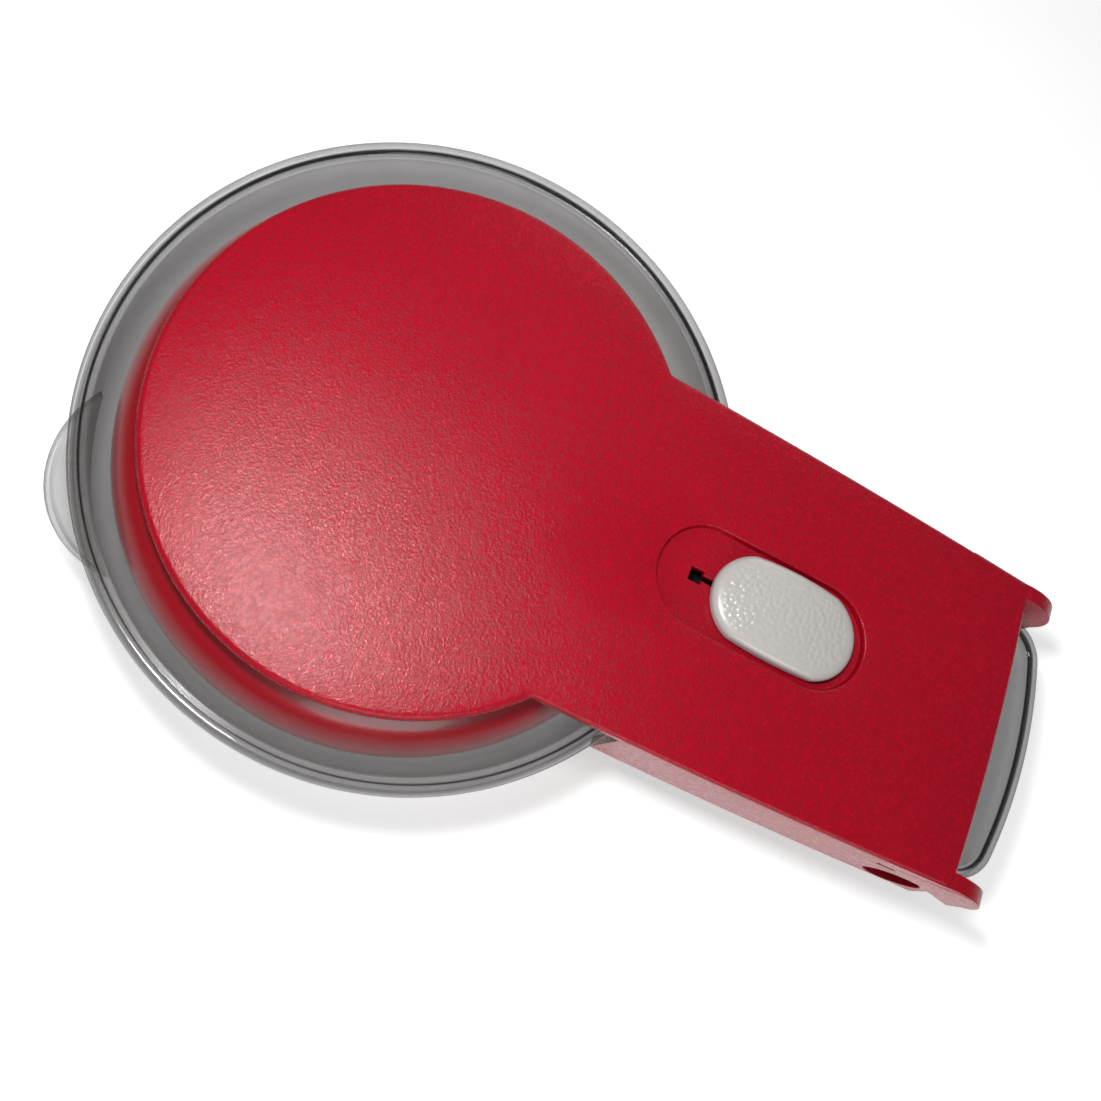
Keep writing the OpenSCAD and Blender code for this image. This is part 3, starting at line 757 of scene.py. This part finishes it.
    def shell(self) -> np.ndarray:
        """The plate, recess and side walls as one closed surface.

        Its loops run from the slot's edge up into the recess, over the recess wall and the top,
        round the outer edge, down the side walls and back under the plate to the slot.

        Returns:
            Points of shape (loops, outline points, 3).
        """
        rim, inward, on_disc = self.outline()
        top, under = self.top_z, self.top_z - self.plate_t
        walled = (rim[:, 0] <= self.skirt_x[1]) & (rim[:, 0] >= self.skirt_x[0]) & (on_disc < 1)
        low = np.where(walled, self.skirt_z, under)
        edge = self.edge_r + (self.plate_t / 2 - self.edge_r) * on_disc
        foot = self.foot_r + (self.plate_t / 2 - self.foot_r) * on_disc
        centres = (self.recess_x[0] + self.recess_half_w, self.recess_x[1] - self.recess_half_w)
        quarter = np.linspace(0, math.pi / 2, 7)
        loops: list[np.ndarray] = []

        def ring(flat: np.ndarray, z: np.ndarray | float) -> None:
            """Adds a loop at one height, or at a height for each point."""
            loops.append(np.concatenate([flat, np.broadcast_to(z, len(flat))[:, None]], -1))

        def stadium(grow: float) -> np.ndarray:
            """The recess's outline, grown by a distance."""
            return self.around_hub(rim, centres, self.recess_half_w + grow)

        floor = self.recess_z
        ring(self.keyhole(rim, 0.0), floor - self.slab_t)
        ring(self.keyhole(rim, 0.0), floor - 0.1)
        ring(self.keyhole(rim, 0.1), floor)
        for grow, z in ((-0.5, floor), (-0.15, floor + 0.1), (0.0, floor + 0.45),
                        (0.0, top - 0.4), (0.06, top - 0.2), (0.2, top - 0.06), (0.4, top)):
            ring(stadium(grow), z)
        inner, outer = stadium(0.4), rim + inward * edge[:, None]
        for share in (0.25, 0.5, 0.75):
            ring(inner + (outer - inner) * share, top)
        for turn in quarter:
            ring(rim + inward * (edge * (1 - math.sin(turn)))[:, None],
                 top - edge * (1 - math.cos(turn)))
        for turn in quarter:
            ring(rim + inward * (foot * (1 - math.cos(turn)))[:, None],
                 low + foot * (1 - math.sin(turn)))
        ring(rim + inward * self.skirt_t, low)
        ring(rim + inward * self.skirt_t, under)
        ring(stadium(1.2), under)
        ring(stadium(1.0), floor - self.slab_t)
        return np.stack(loops)

    def ear(self, side: int) -> bpy.types.Mesh:
        """One rear ear: a wall with a hooked end, a jaw, the hinge bore and a small slot.

        The profile is a filled flat curve in (x, z). Its depth is then spread along Y, from the
        inner face to just inside the handle's edge.

        Args:
            side: 1 for +Y and -1 for -Y.

        Returns:
            The ear's mesh in metres.
        """
        hx, hz = self.hinge
        cx, cz = self.ear_centre
        turn = np.radians(np.linspace(-20, 90, 26))
        hook = [cx, cz] + self.ear_r * circle(turn)
        left, jaw = self.skirt_x[1] - 0.4, hx + self.hinge_r
        edge_top = np.stack([np.linspace(cx, left, 12)[1:], np.full(11, self.top_z - 0.3)], -1)
        hook[:, 1] = np.minimum(hook[:, 1], self.top_z - 0.03)
        base = np.stack([np.linspace(left, jaw + 1.6, 14),
                         np.linspace(self.skirt_z, self.skirt_z + 0.7, 14)], -1)
        lip = [[jaw + 1.8, self.skirt_z + 1.2], [jaw + 1.1, hz + 1.7], [jaw + 1.5, hz + 1.9],
               [cx + self.ear_reach, hz - 0.9]]
        outline = np.concatenate([base, lip, hook, edge_top])
        turn = np.linspace(0, 2 * math.pi, 72, endpoint=False)
        bore = [hx, hz] + self.hinge_r * circle(turn)
        (x0, x1), (z0, z1) = self.mark
        mark = np.array([[x0, z0], [x1, z0], [x1, z1], [x0, z1]])
        flat = bpy.data.curves.new("ear_profile", "CURVE")
        flat.dimensions, flat.fill_mode, flat.bevel_resolution = "2D", "BOTH", 2
        bevel = self.ear_bevel
        flat.extrude, flat.bevel_depth, flat.offset = self.ear_t / 2 - bevel, bevel, -bevel
        for loop in (outline, bore, mark):
            line = flat.splines.new("POLY")
            line.points.add(len(loop) - 1)
            line.points.foreach_set("co", np.concatenate(
                [loop, np.zeros((len(loop), 1)), np.ones((len(loop), 1))], -1).ravel())
            line.use_cyclic_u = True
        holder = bpy.data.objects.new("ear_profile", flat)
        bpy.context.scene.collection.objects.link(holder)
        graph = bpy.context.evaluated_depsgraph_get()
        mesh = bpy.data.meshes.new_from_object(holder.evaluated_get(graph))
        bpy.data.objects.remove(holder)
        co = np.empty(len(mesh.vertices) * 3)
        mesh.vertices.foreach_get("co", co)
        x, z, depth = co.reshape(-1, 3).T
        outer = self.edge_y(np.minimum(x, self.end_x)) - 0.03
        y = side * (self.ear_inner + (outer - self.ear_inner) * (depth / self.ear_t + 0.5))
        mesh.vertices.foreach_set("co", (np.stack([x, y, z], -1) * MM).ravel())
        return mesh

    def build(self, dresser: Dresser) -> bpy.types.Object:
        """Makes the whole cover and sets it on its body.

        Args:
            dresser: the maker of finishes.

        Returns:
            The cover, in place of its CAD node.
        """
        skin = Skin()
        skin.add(self.shell(), wrap_rows=True, wrap_cols=True)
        inner, outer = self.ring
        under, low, bevel = self.top_z - self.plate_t + 0.2, self.ring_z, 0.3
        locating = np.array([[outer, under], [outer, low + bevel], [outer - bevel, low],
                             [inner + bevel, low], [inner, low + bevel], [inner, under]])
        skin.add(lathe(locating, self.ring_steps), wrap_rows=True, wrap_cols=True)
        piece = skin.build("head_cover")
        work = bmesh.new()
        work.from_mesh(piece.data)
        for side in (1, -1):
            ear = self.ear(side)
            part = bmesh.new()
            part.from_mesh(ear)
            bmesh.ops.remove_doubles(part, verts=part.verts, dist=WELD_M)
            bmesh.ops.recalc_face_normals(part, faces=part.faces)
            part.to_mesh(ear)
            part.free()
            work.from_mesh(ear)
            bpy.data.meshes.remove(ear)
        work.to_mesh(piece.data)
        work.free()
        piece.data.shade_smooth()
        piece.data.set_sharp_from_angle(angle=math.radians(CREASE_DEG))
        dresser.dress(piece, Slot.HEAD)
        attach(piece, "opener")
        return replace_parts(piece, "top_cover")


# ---- the clear bowl


@dataclass
class ClearBowl:
    """Round clear bowl with a stepped rim, a square handle tray, a side tab and hinge cups."""

    rim_r: float = 61.5
    rim_z: float = 28.7
    wall: float = 2.0
    foot_r: float = 44.0
    lip: float = 1.2
    lip_h: float = 3.2
    land: float = 1.9
    step: float = 1.4
    curve_z: float = 22.0
    tray_half_w: float = 25.3
    tray_end_x: float = 128.5
    tray_z: float = 8.0
    tray_end_r: float = 95.0
    tray_corner_r: float = 8.0
    tray_end_z: float = 24.17
    ramp_x: Pair = (101.0, 104.5)
    tab_angle: float = -146.0
    tab_centre: float = 47.4
    tab_r: float = 19.3
    tab_z: Pair = (13.5, 16.5)
    hinge: Pair = (112.6, 18.2)
    cup_r: Pair = (4.92, 3.32)
    cup_y: Pair = (25.2, 27.6)
    soft_edge: Pair = (1.6, 1.2)
    sink_z: Pair = (13.0, 24.5)
    tray_start_x: float = 62.5
    tab_hold: float = 1.5
    tab_end_gap: float = 0.004
    around: int = 260
    mouth: int = 24
    cup_steps: int = 72
    crease_deg: float = 38.0

    @property
    def bowl_r(self) -> float:
        """The wall's outer radius under the rim's lip."""
        return self.rim_r - self.lip

    def arc(self, inner: bool, low: float, high: float, count: int) -> np.ndarray:
        """Points (radius, z) on the wall's elliptical quarter between two heights.

        The outer face is r = foot + (bowl - foot) * sqrt(1 - ((curve_z - z) / curve_z) ** 2), and
        the inner face is the same curve moved in and up by the wall.

        Args:
            inner: the inner face, not the outer one.
            low: the lowest height.
            high: the highest height.
            count: how many points.

        Returns:
            Rows of (radius, z), from the highest to the lowest.
        """
        shift = self.wall if inner else 0.0
        base = self.foot_r - shift
        tall = self.curve_z - shift
        t = np.linspace(math.asin(min(1, (self.curve_z - high) / tall)),
                        math.asin(min(1, (self.curve_z - low) / tall)), count)
        return np.stack([base + (self.bowl_r - self.foot_r) * np.cos(t),
                         self.curve_z - tall * np.sin(t)], -1)

    def profile(self) -> tuple[np.ndarray, np.ndarray, np.ndarray, np.ndarray]:
        """The wall's section from the tray's underside over the rim to the tray's floor.

        Returns:
            The bowl's radius, the tray's inset from its outline, the height and the darkness of
            the painted shade line that each point carries, drawn along the steps under and inside
            the rim where clear plastic looks dark by refraction.
        """

        def rounded(height: np.ndarray, floor: float, size: float) -> np.ndarray:
            """The inset of a quarter circle of that size above the floor."""
            lift = np.clip((height - floor) / size, 0, 1)
            return size * (1 - np.sqrt(1 - (1 - lift) ** 2))

        under = self.arc(False, self.tray_z, self.curve_z, 16)[::-1]
        under_inset = rounded(under[:, 1], self.tray_z, self.soft_edge[0])
        floor = self.tray_z + self.wall
        inside = self.arc(True, floor, self.curve_z, 16)
        inside_inset = self.wall + rounded(inside[:, 1], floor, self.soft_edge[1])
        out, side, ledge = self.rim_r, self.bowl_r, self.rim_r - self.land
        top, lip, step = self.rim_z, self.rim_z - self.lip_h, self.rim_z - self.step
        # the fourth column is painted shade: dark lines along the rim's steps, where clear plastic
        # looks dark by refraction
        rim = np.array([
            (side, 0.0, lip - 0.25, 0.5), (side + 0.3, 0.0, lip, 0.8),
            (out - 0.35, 0.0, lip + 0.02, 0.5), (out - 0.1, 0.0, lip + 0.12, 0.0),
            (out, 0.0, lip + 0.4, 0.0), (out, 0.0, top - 0.6, 0.0),
            (out - 0.08, 0.08, top - 0.3, 0.0), (out - 0.25, 0.25, top - 0.1, 0.0),
            (out - 0.55, 0.5, top, 0.0), (ledge + 0.3, 1.05, top, 0.0),
            (ledge + 0.06, 1.25, top - 0.1, 0.6), (ledge, 1.3, top - 0.35, 1.0),
            (ledge, 1.3, step + 0.1, 1.0), (ledge - 0.1, 1.4, step, 1.0),
            (ledge - 0.4, 1.6, step, 0.1), (side - self.wall + 0.25, 1.85, step, 0.0),
            (side - self.wall, 2.0, step - 0.3, 0.0)])
        radius = np.concatenate([under[:, 0], rim[:, 0], inside[:, 0]])
        inset = np.concatenate([under_inset, rim[:, 1], inside_inset])
        height = np.concatenate([under[:, 1], rim[:, 2], inside[:, 1]])
        dark = np.concatenate([np.zeros(len(under)), rim[:, 3], np.zeros(len(inside))])
        return radius, inset, height, dark

    def tray_path(self) -> tuple[np.ndarray, np.ndarray]:
        """Half of the tray's outline, from the bowl to the end's middle.

        It is a straight side, a corner circle and a shallow end circle that meet without a kink.

        Returns:
            The points and their unit normals that point inwards.
        """
        big, small, half = self.tray_end_r, self.tray_corner_r, self.tray_half_w
        centre = self.tray_end_x - big
        cy = half - small
        cx = centre + math.sqrt((big - small) ** 2 - cy ** 2)
        join = math.atan2(cy, cx - centre)
        x = np.concatenate([np.linspace(self.tray_start_x, self.ramp_x[0], 10),
                            np.linspace(*self.ramp_x, 9)[1:],
                            np.linspace(self.ramp_x[1], cx, 8)[1:]])
        side = np.stack([x, np.full(len(x), half)], -1)
        turn = np.linspace(math.pi / 2, join, 16)[1:]
        corner_out = circle(turn)
        turn = np.linspace(join, 0, 18)[1:]
        end_out = circle(turn)
        side_out = np.tile([0.0, 1.0], (len(side), 1))
        points = np.concatenate([side, [cx, cy] + small * corner_out, [centre, 0] + big * end_out])
        return points, -np.concatenate([side_out, corner_out, end_out])

    def walls(self) -> tuple[np.ndarray, np.ndarray]:
        """The section carried round the bowl and round the tray.

        Round the bowl each point keeps its radius and its angle runs between the two places where
        that circle meets the tray's side. Round the tray each point is the outline plus its inset
        along the normal, and its rim is lowered behind the ramp.

        Returns:
            Grids of shape (stations, section points, 3) for the bowl and for the tray.
        """
        radius, inset, height, _ = self.profile()
        half = self.tray_half_w - inset
        start = np.arcsin(half / radius)
        share = np.linspace(0, 1, self.around + 1)[:, None]
        turn = start + (2 * math.pi - 2 * start) * share
        bowl = np.stack([radius * np.cos(turn), radius * np.sin(turn), height + 0 * turn], -1)
        path, inward = self.tray_path()
        flat = path[:, None, :] + inward[:, None, :] * inset[None, :, None]
        drop = smooth(path[:, 0], *self.ramp_x)[:, None] * (self.rim_z - self.tray_end_z)
        lowered = height[None, :] - drop * smooth(height, *self.sink_z)[None, :]
        side = np.concatenate([flat, lowered[..., None]], -1)
        first = np.stack([radius * np.cos(start), half, height], -1)[None]
        side = np.concatenate([first, side])
        tray = np.concatenate([side, (side * [1, -1, 1])[-2::-1]])
        return bowl, tray

    def floors(self, bowl: np.ndarray, tray: np.ndarray) -> list[tuple[np.ndarray, bool]]:
        """The bowl's rounded base and the tray's floor, inside and outside.

        The base is a full turn of the wall's lower curve and a flat disc. The floor is ruled
        across the tray between matching stations, with its first row on the bowl's circle.

        Args:
            bowl: the bowl's wall.
            tray: the tray's wall.

        Returns:
            Each grid, and whether its rows close on themselves.
        """
        grids = []
        stations = len(tray) // 2
        share = np.linspace(0, 1, self.mouth + 1)
        for column, inner in ((0, False), (-1, True)):
            x, y, z = bowl[0, column]
            start = math.atan2(y, x)
            rest = 2 * math.pi - start
            turn = np.concatenate([np.linspace(start, rest, self.around + 1),
                                   rest + 2 * start * share[1:-1]])[:, None]
            curve = self.arc(inner, self.wall if inner else 0.0, z, 18)
            fall = np.linspace(1, 0, 7)[1:, None] * curve[-1, 0]
            flat = np.concatenate([fall, np.full_like(fall, curve[-1, 1])], -1)
            r, h = np.concatenate([curve, flat]).T[:, None, :]
            grids.append((np.stack([r * np.cos(turn), r * np.sin(turn), h + 0 * turn], -1), True))
            left, right = tray[1:stations + 1, column], tray[::-1][1:stations + 1, column]
            rows = left[:, None] + (right - left)[:, None] * share[None, :, None]
            gap = start - 2 * start * share
            reach = math.hypot(x, y)
            first = np.stack([reach * np.cos(gap), reach * np.sin(gap), np.full_like(gap, z)], -1)
            grids.append((np.concatenate([first[None], rows]), False))
        return grids

    def tab(self) -> np.ndarray:
        """The side tab: a thin moon with a raised lip, sunk a little into the bowl's wall.

        At each angle about the tab's own centre the section runs from the bowl's wall to the
        tab's edge. The wall lies at -c cos a + sqrt(hold^2 - c^2 sin^2 a) from that centre, with
        c the centre's distance from the head's axis and hold the radius where the tab starts.

        Returns:
            Points of shape (angles, section points, 3).
        """
        c, r = self.tab_centre, self.tab_r
        hold = self.bowl_r - self.tab_hold
        limit = math.acos((hold ** 2 - c ** 2 - r ** 2) / (2 * c * r)) - self.tab_end_gap
        a = np.linspace(-limit, limit, 90)
        near = -c * np.cos(a) + np.sqrt(hold ** 2 - (c * np.sin(a)) ** 2)
        low, high = self.tab_z
        deep, z = np.array([
            (1.0, low + 0.5), (1.0, high - 0.5), (0.985, high - 0.15), (0.96, high), (0.93, high),
            (0.86, high - 0.05), (0.8, high - 0.8), (0.75, high - 1.1), (0.0, high - 1.1),
            (0.0, low), (0.75, low), (0.93, low), (0.975, low + 0.12), (1.0, low + 0.5)]).T
        reach = near[:, None] + (r - near)[:, None] * deep[None, :]
        spin = math.radians(self.tab_angle)
        cos, sin = math.cos(spin), math.sin(spin)
        x = c + reach * np.cos(a)[:, None]
        y = reach * np.sin(a)[:, None]
        return np.stack([x * cos - y * sin, x * sin + y * cos, np.broadcast_to(z, x.shape)], -1)

    def cup(self, side: int) -> np.ndarray:
        """One hinge cup: a short hollow trunnion turned about the hinge line.

        Args:
            side: 1 for +Y and -1 for -Y.

        Returns:
            Points of shape (steps, profile points, 3).
        """
        outer, inner = self.cup_r
        near, far = self.cup_y
        profile = np.array([
            [outer, near], [outer, far - 0.3], [outer - 0.3, far], [inner + 0.2, far],
            [inner, far - 0.2], [inner, near + 0.6], [0.0, near + 0.6], [0.0, near]])
        across, up, along = np.moveaxis(lathe(profile, self.cup_steps), -1, 0)
        return np.stack([across + self.hinge[0], side * along, up + self.hinge[1]], -1)

    def build(self, dresser: Dresser) -> bpy.types.Object:
        """Makes the whole bowl and sets it on its body.

        Args:
            dresser: the maker of finishes.

        Returns:
            The bowl, in place of its CAD node.
        """
        skin = Skin()
        bowl, tray = self.walls()
        # painted shade lines along the rim's steps
        dark = self.profile()[3]
        skin.add(bowl, dark=dark)
        skin.add(tray, dark=dark)
        for grid, closed in self.floors(bowl, tray):
            skin.add(grid, wrap_rows=closed)
        skin.add(self.tab(), wrap_cols=True)
        for side in (1, -1):
            skin.add(self.cup(side), wrap_rows=True, wrap_cols=True)
        piece = skin.build("clear_bowl_shell", self.crease_deg)
        dresser.dress(piece, Slot.CLEAR)
        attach(piece, "base")
        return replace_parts(piece, "clear_bowl")


# ---- the slide button


@dataclass
class SlideButton:
    """White thumb button: a crowned stadium with a pebbled top."""

    centre_x: float = 73.3
    length: float = 28.0
    width: float = 17.0
    low_z: float = 31.5
    top_z: float = 35.2
    crown_r: float = 70.0
    edge_r: float = 1.1
    pebble_mm: float = 1.05
    pebble_h: float = 0.13
    under_r: float = 0.3
    pebble_jitter: float = 0.36
    pebble_reach: float = 0.62
    pebble_edge: Pair = (0.9, 1.8)
    pebble_rows: tuple[int, int] = (16, 11)
    push_gain: float = 3.0
    spine_keep: float = 0.25
    loops: int = 70
    around: int = 300
    batch: int = 64
    seed: int = 7
    crease_deg: float = 40.0

    def plan(self, inset: np.ndarray) -> np.ndarray:
        """Stadium loops in plan: a segment's end points pushed out by the radius less the inset.

        Args:
            inset: how far each loop lies inside the outline.

        Returns:
            Points of shape (loops, around, 2).
        """
        straight = (self.length - self.width) / 2
        radius = self.width / 2
        turn = np.linspace(0, 2 * math.pi, self.around, endpoint=False)
        push = np.clip(np.cos(turn) * self.push_gain, -1, 1)
        reach = (radius - inset)[:, None]
        shrink = np.clip(reach / radius, 0, 1)
        keep = self.spine_keep + (1 - self.spine_keep) * shrink
        x = straight * push[None, :] * keep + reach * np.cos(turn)[None, :]
        return np.stack([x, reach * np.sin(turn)[None, :]], -1)

    def pebbles(self, x: np.ndarray, y: np.ndarray) -> np.ndarray:
        """Rounded pebbles: the dome 1 - (d / reach)^2 about the nearest of many jittered points.

        Args:
            x: the surface points' distance along the button.
            y: the surface points' distance across it.

        Returns:
            The relief at each point, from 0 to 1.
        """
        rng = np.random.default_rng(self.seed)
        size, jitter = self.pebble_mm, self.pebble_jitter
        gx, gy = np.meshgrid(*(np.arange(-n, n + 1) * size for n in self.pebble_rows))
        px = (gx + rng.uniform(-jitter, jitter, gx.shape) * size).ravel()
        py = (gy + rng.uniform(-jitter, jitter, gy.shape) * size).ravel()
        best = np.full(x.shape, np.inf)
        for row in range(0, len(px), self.batch):
            some = slice(row, row + self.batch)
            gap = (x[..., None] - px[some]) ** 2 + (y[..., None] - py[some]) ** 2
            best = np.minimum(best, gap.min(-1))
        return np.clip(1 - best / (self.pebble_reach * size) ** 2, 0, 1)

    def build(self, dresser: Dresser) -> bpy.types.Object:
        """Makes the button and sets it on its body.

        Args:
            dresser: the maker of finishes.

        Returns:
            The button, in place of its CAD node.
        """
        radius = self.width / 2
        turn = np.linspace(0, math.pi / 2, 8)[1:]
        inset = np.concatenate([np.linspace(radius, self.edge_r, self.loops),
                                self.edge_r * (1 - np.sin(turn))])
        drop = np.concatenate([np.zeros(self.loops), self.edge_r * (1 - np.cos(turn))])
        plan = self.plan(inset)
        x, y = plan[..., 0], plan[..., 1]
        crown = (x ** 2 + y ** 2) / (2 * self.crown_r)
        relief = self.pebbles(x, y) * smooth(inset, *self.pebble_edge)[:, None]
        z = self.top_z - self.pebble_h - crown - drop[:, None] + self.pebble_h * relief
        top = np.stack([x + self.centre_x, y, z], -1)
        side = top[-1:] * [1, 1, 0] + [0, 0, self.low_z + self.under_r]
        flat = self.plan(np.array([self.under_r, radius * 0.5, radius])) + [self.centre_x, 0]
        base = np.concatenate([flat, np.full((*flat.shape[:2], 1), self.low_z)], -1)
        skin = Skin()
        skin.add(np.concatenate([top, side, base]), wrap_cols=True)
        skin.add(self.spine(top[0]))
        skin.add(self.spine(base[-1]))
        piece = skin.build("slide_button_cap", self.crease_deg)
        dresser.dress(piece, Slot.BUTTON)
        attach(piece, "switch")
        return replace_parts(piece, "slide_button")

    def spine(self, loop: np.ndarray) -> np.ndarray:
        """Closes the flattened innermost loop.

        Args:
            loop: the loop's points.

        Returns:
            Two rows that join each point to its mirror across the spine.
        """
        half = self.around // 2
        upper = loop[:half + 1]
        lower = np.concatenate([loop[:1], loop[:half - 1:-1]])
        return np.stack([upper, lower])


# ---- studio


@dataclass(frozen=True)
class Lamp:
    """A round area lamp: its place, aim and diameter in metres, and its power in watts."""

    name: str
    at: Triple
    aim: Triple
    size: float
    power: float

    def build(self) -> None:
        """Adds the lamp to the scene."""
        data = bpy.data.lights.new(self.name, "AREA")
        data.shape, data.size, data.energy = "DISK", self.size, self.power
        lamp = bpy.data.objects.new(self.name, data)
        turn = (Vector(self.aim) - Vector(self.at)).to_track_quat("-Z", "Y")
        lamp.matrix_world = Matrix.Translation(Vector(self.at)) @ turn.to_matrix().to_4x4()
        bpy.context.scene.collection.objects.link(lamp)


@dataclass
class Studio:
    """Pale floor, soft lamps and the camera, whose eye is in millimetres."""

    eye: Triple = (1.40, -69.99, 238.85)
    look: Triple = (0.0033, 0.4337, -0.9010)
    up: Triple = (-0.4670, 0.7974, 0.3821)
    lens: float = 39.24
    shift: Pair = (0.0439, -0.2235)
    sensor: float = 36.0
    clip_start: float = 0.005
    floor_half: float = 2.5
    floor_z: float = -0.0002
    floor_tones: Pair = (0.9, 0.93)
    floor_patch_mm: float = 60.0
    floor_glow: float = 0.35
    surround: float = 0.2
    lamps: tuple[Lamp, ...] = (
        Lamp("flash", (-0.026, -0.022, 0.232), (0.005, -0.005, 0.03), 0.04, 0.52),
        Lamp("rear_softbox", (0.15, 0.75, 0.5), (0.03, 0.0, 0.02), 0.5, 1.2),
        Lamp("front_softbox", (0.3, -0.65, 0.42), (0.03, 0.0, 0.02), 0.5, 2.4))

    def camera(self) -> None:
        """Sets the camera from its eye, look and up directions."""
        look = Vector(self.look).normalized()
        right = look.cross(Vector(self.up)).normalized()
        up = right.cross(look)
        turn = Matrix((right, up, -look)).transposed().to_4x4()
        data = bpy.data.cameras.new("camera")
        data.lens, data.sensor_width = self.lens, self.sensor
        data.shift_x, data.shift_y = self.shift
        data.clip_start = self.clip_start
        camera = bpy.data.objects.new("camera", data)
        camera.matrix_world = Matrix.Translation(Vector(self.eye) * MM) @ turn
        bpy.context.scene.collection.objects.link(camera)
        bpy.context.scene.camera = camera

    def floor(self) -> None:
        """Lays a pale, faintly glowing floor just under the object."""
        h, z = self.floor_half, self.floor_z
        mesh = bpy.data.meshes.new("floor")
        mesh.from_pydata([(-h, -h, z), (h, -h, z), (h, h, z), (-h, h, z)], [], [(0, 1, 2, 3)])
        floor = bpy.data.objects.new("floor", mesh)
        bpy.context.scene.collection.objects.link(floor)
        g = Graph("pale_floor")
        low, high = (shade(WHITE, tone) for tone in self.floor_tones)
        mesh.materials.append(g.finish(
            Base_Color=g.blend(g.noise(self.floor_patch_mm), low, high), Roughness=0.9,
            Specular_IOR_Level=0.1, Emission_Color=WHITE, Emission_Strength=self.floor_glow))

    def world(self) -> None:
        """Fills the surroundings with even pale light."""
        world = bpy.data.worlds.new("surround")
        world.use_nodes = True
        back = world.node_tree.nodes["Background"]
        back.inputs["Color"].default_value = (*WHITE, 1.0)
        back.inputs["Strength"].default_value = self.surround
        bpy.context.scene.world = world
        bpy.context.scene.view_settings.view_transform = "Standard"

    def build(self) -> None:
        """Sets camera, floor, surroundings and lamps."""
        self.camera()
        self.floor()
        self.world()
        for lamp in self.lamps:
            lamp.build()


def main() -> None:
    """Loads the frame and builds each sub-assembly."""
    logging.basicConfig(level=logging.INFO, format="%(name)s: %(message)s")
    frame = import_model()
    Studio().build()
    dresser = Dresser()
    for row in frame["record"]["subparts"]:
        node = frame["nodes"][row["node"]]
        for place in node.material_slots:
            place.material = dresser.material(Slot(row["material_slot"]))
    for maker in (HeadCover(), ClearBowl(), SlideButton()):
        piece = maker.build(dresser)
        LOG.info("%s: %d faces", piece.name, len(piece.data.polygons))


if __name__ == "__main__":
    main()
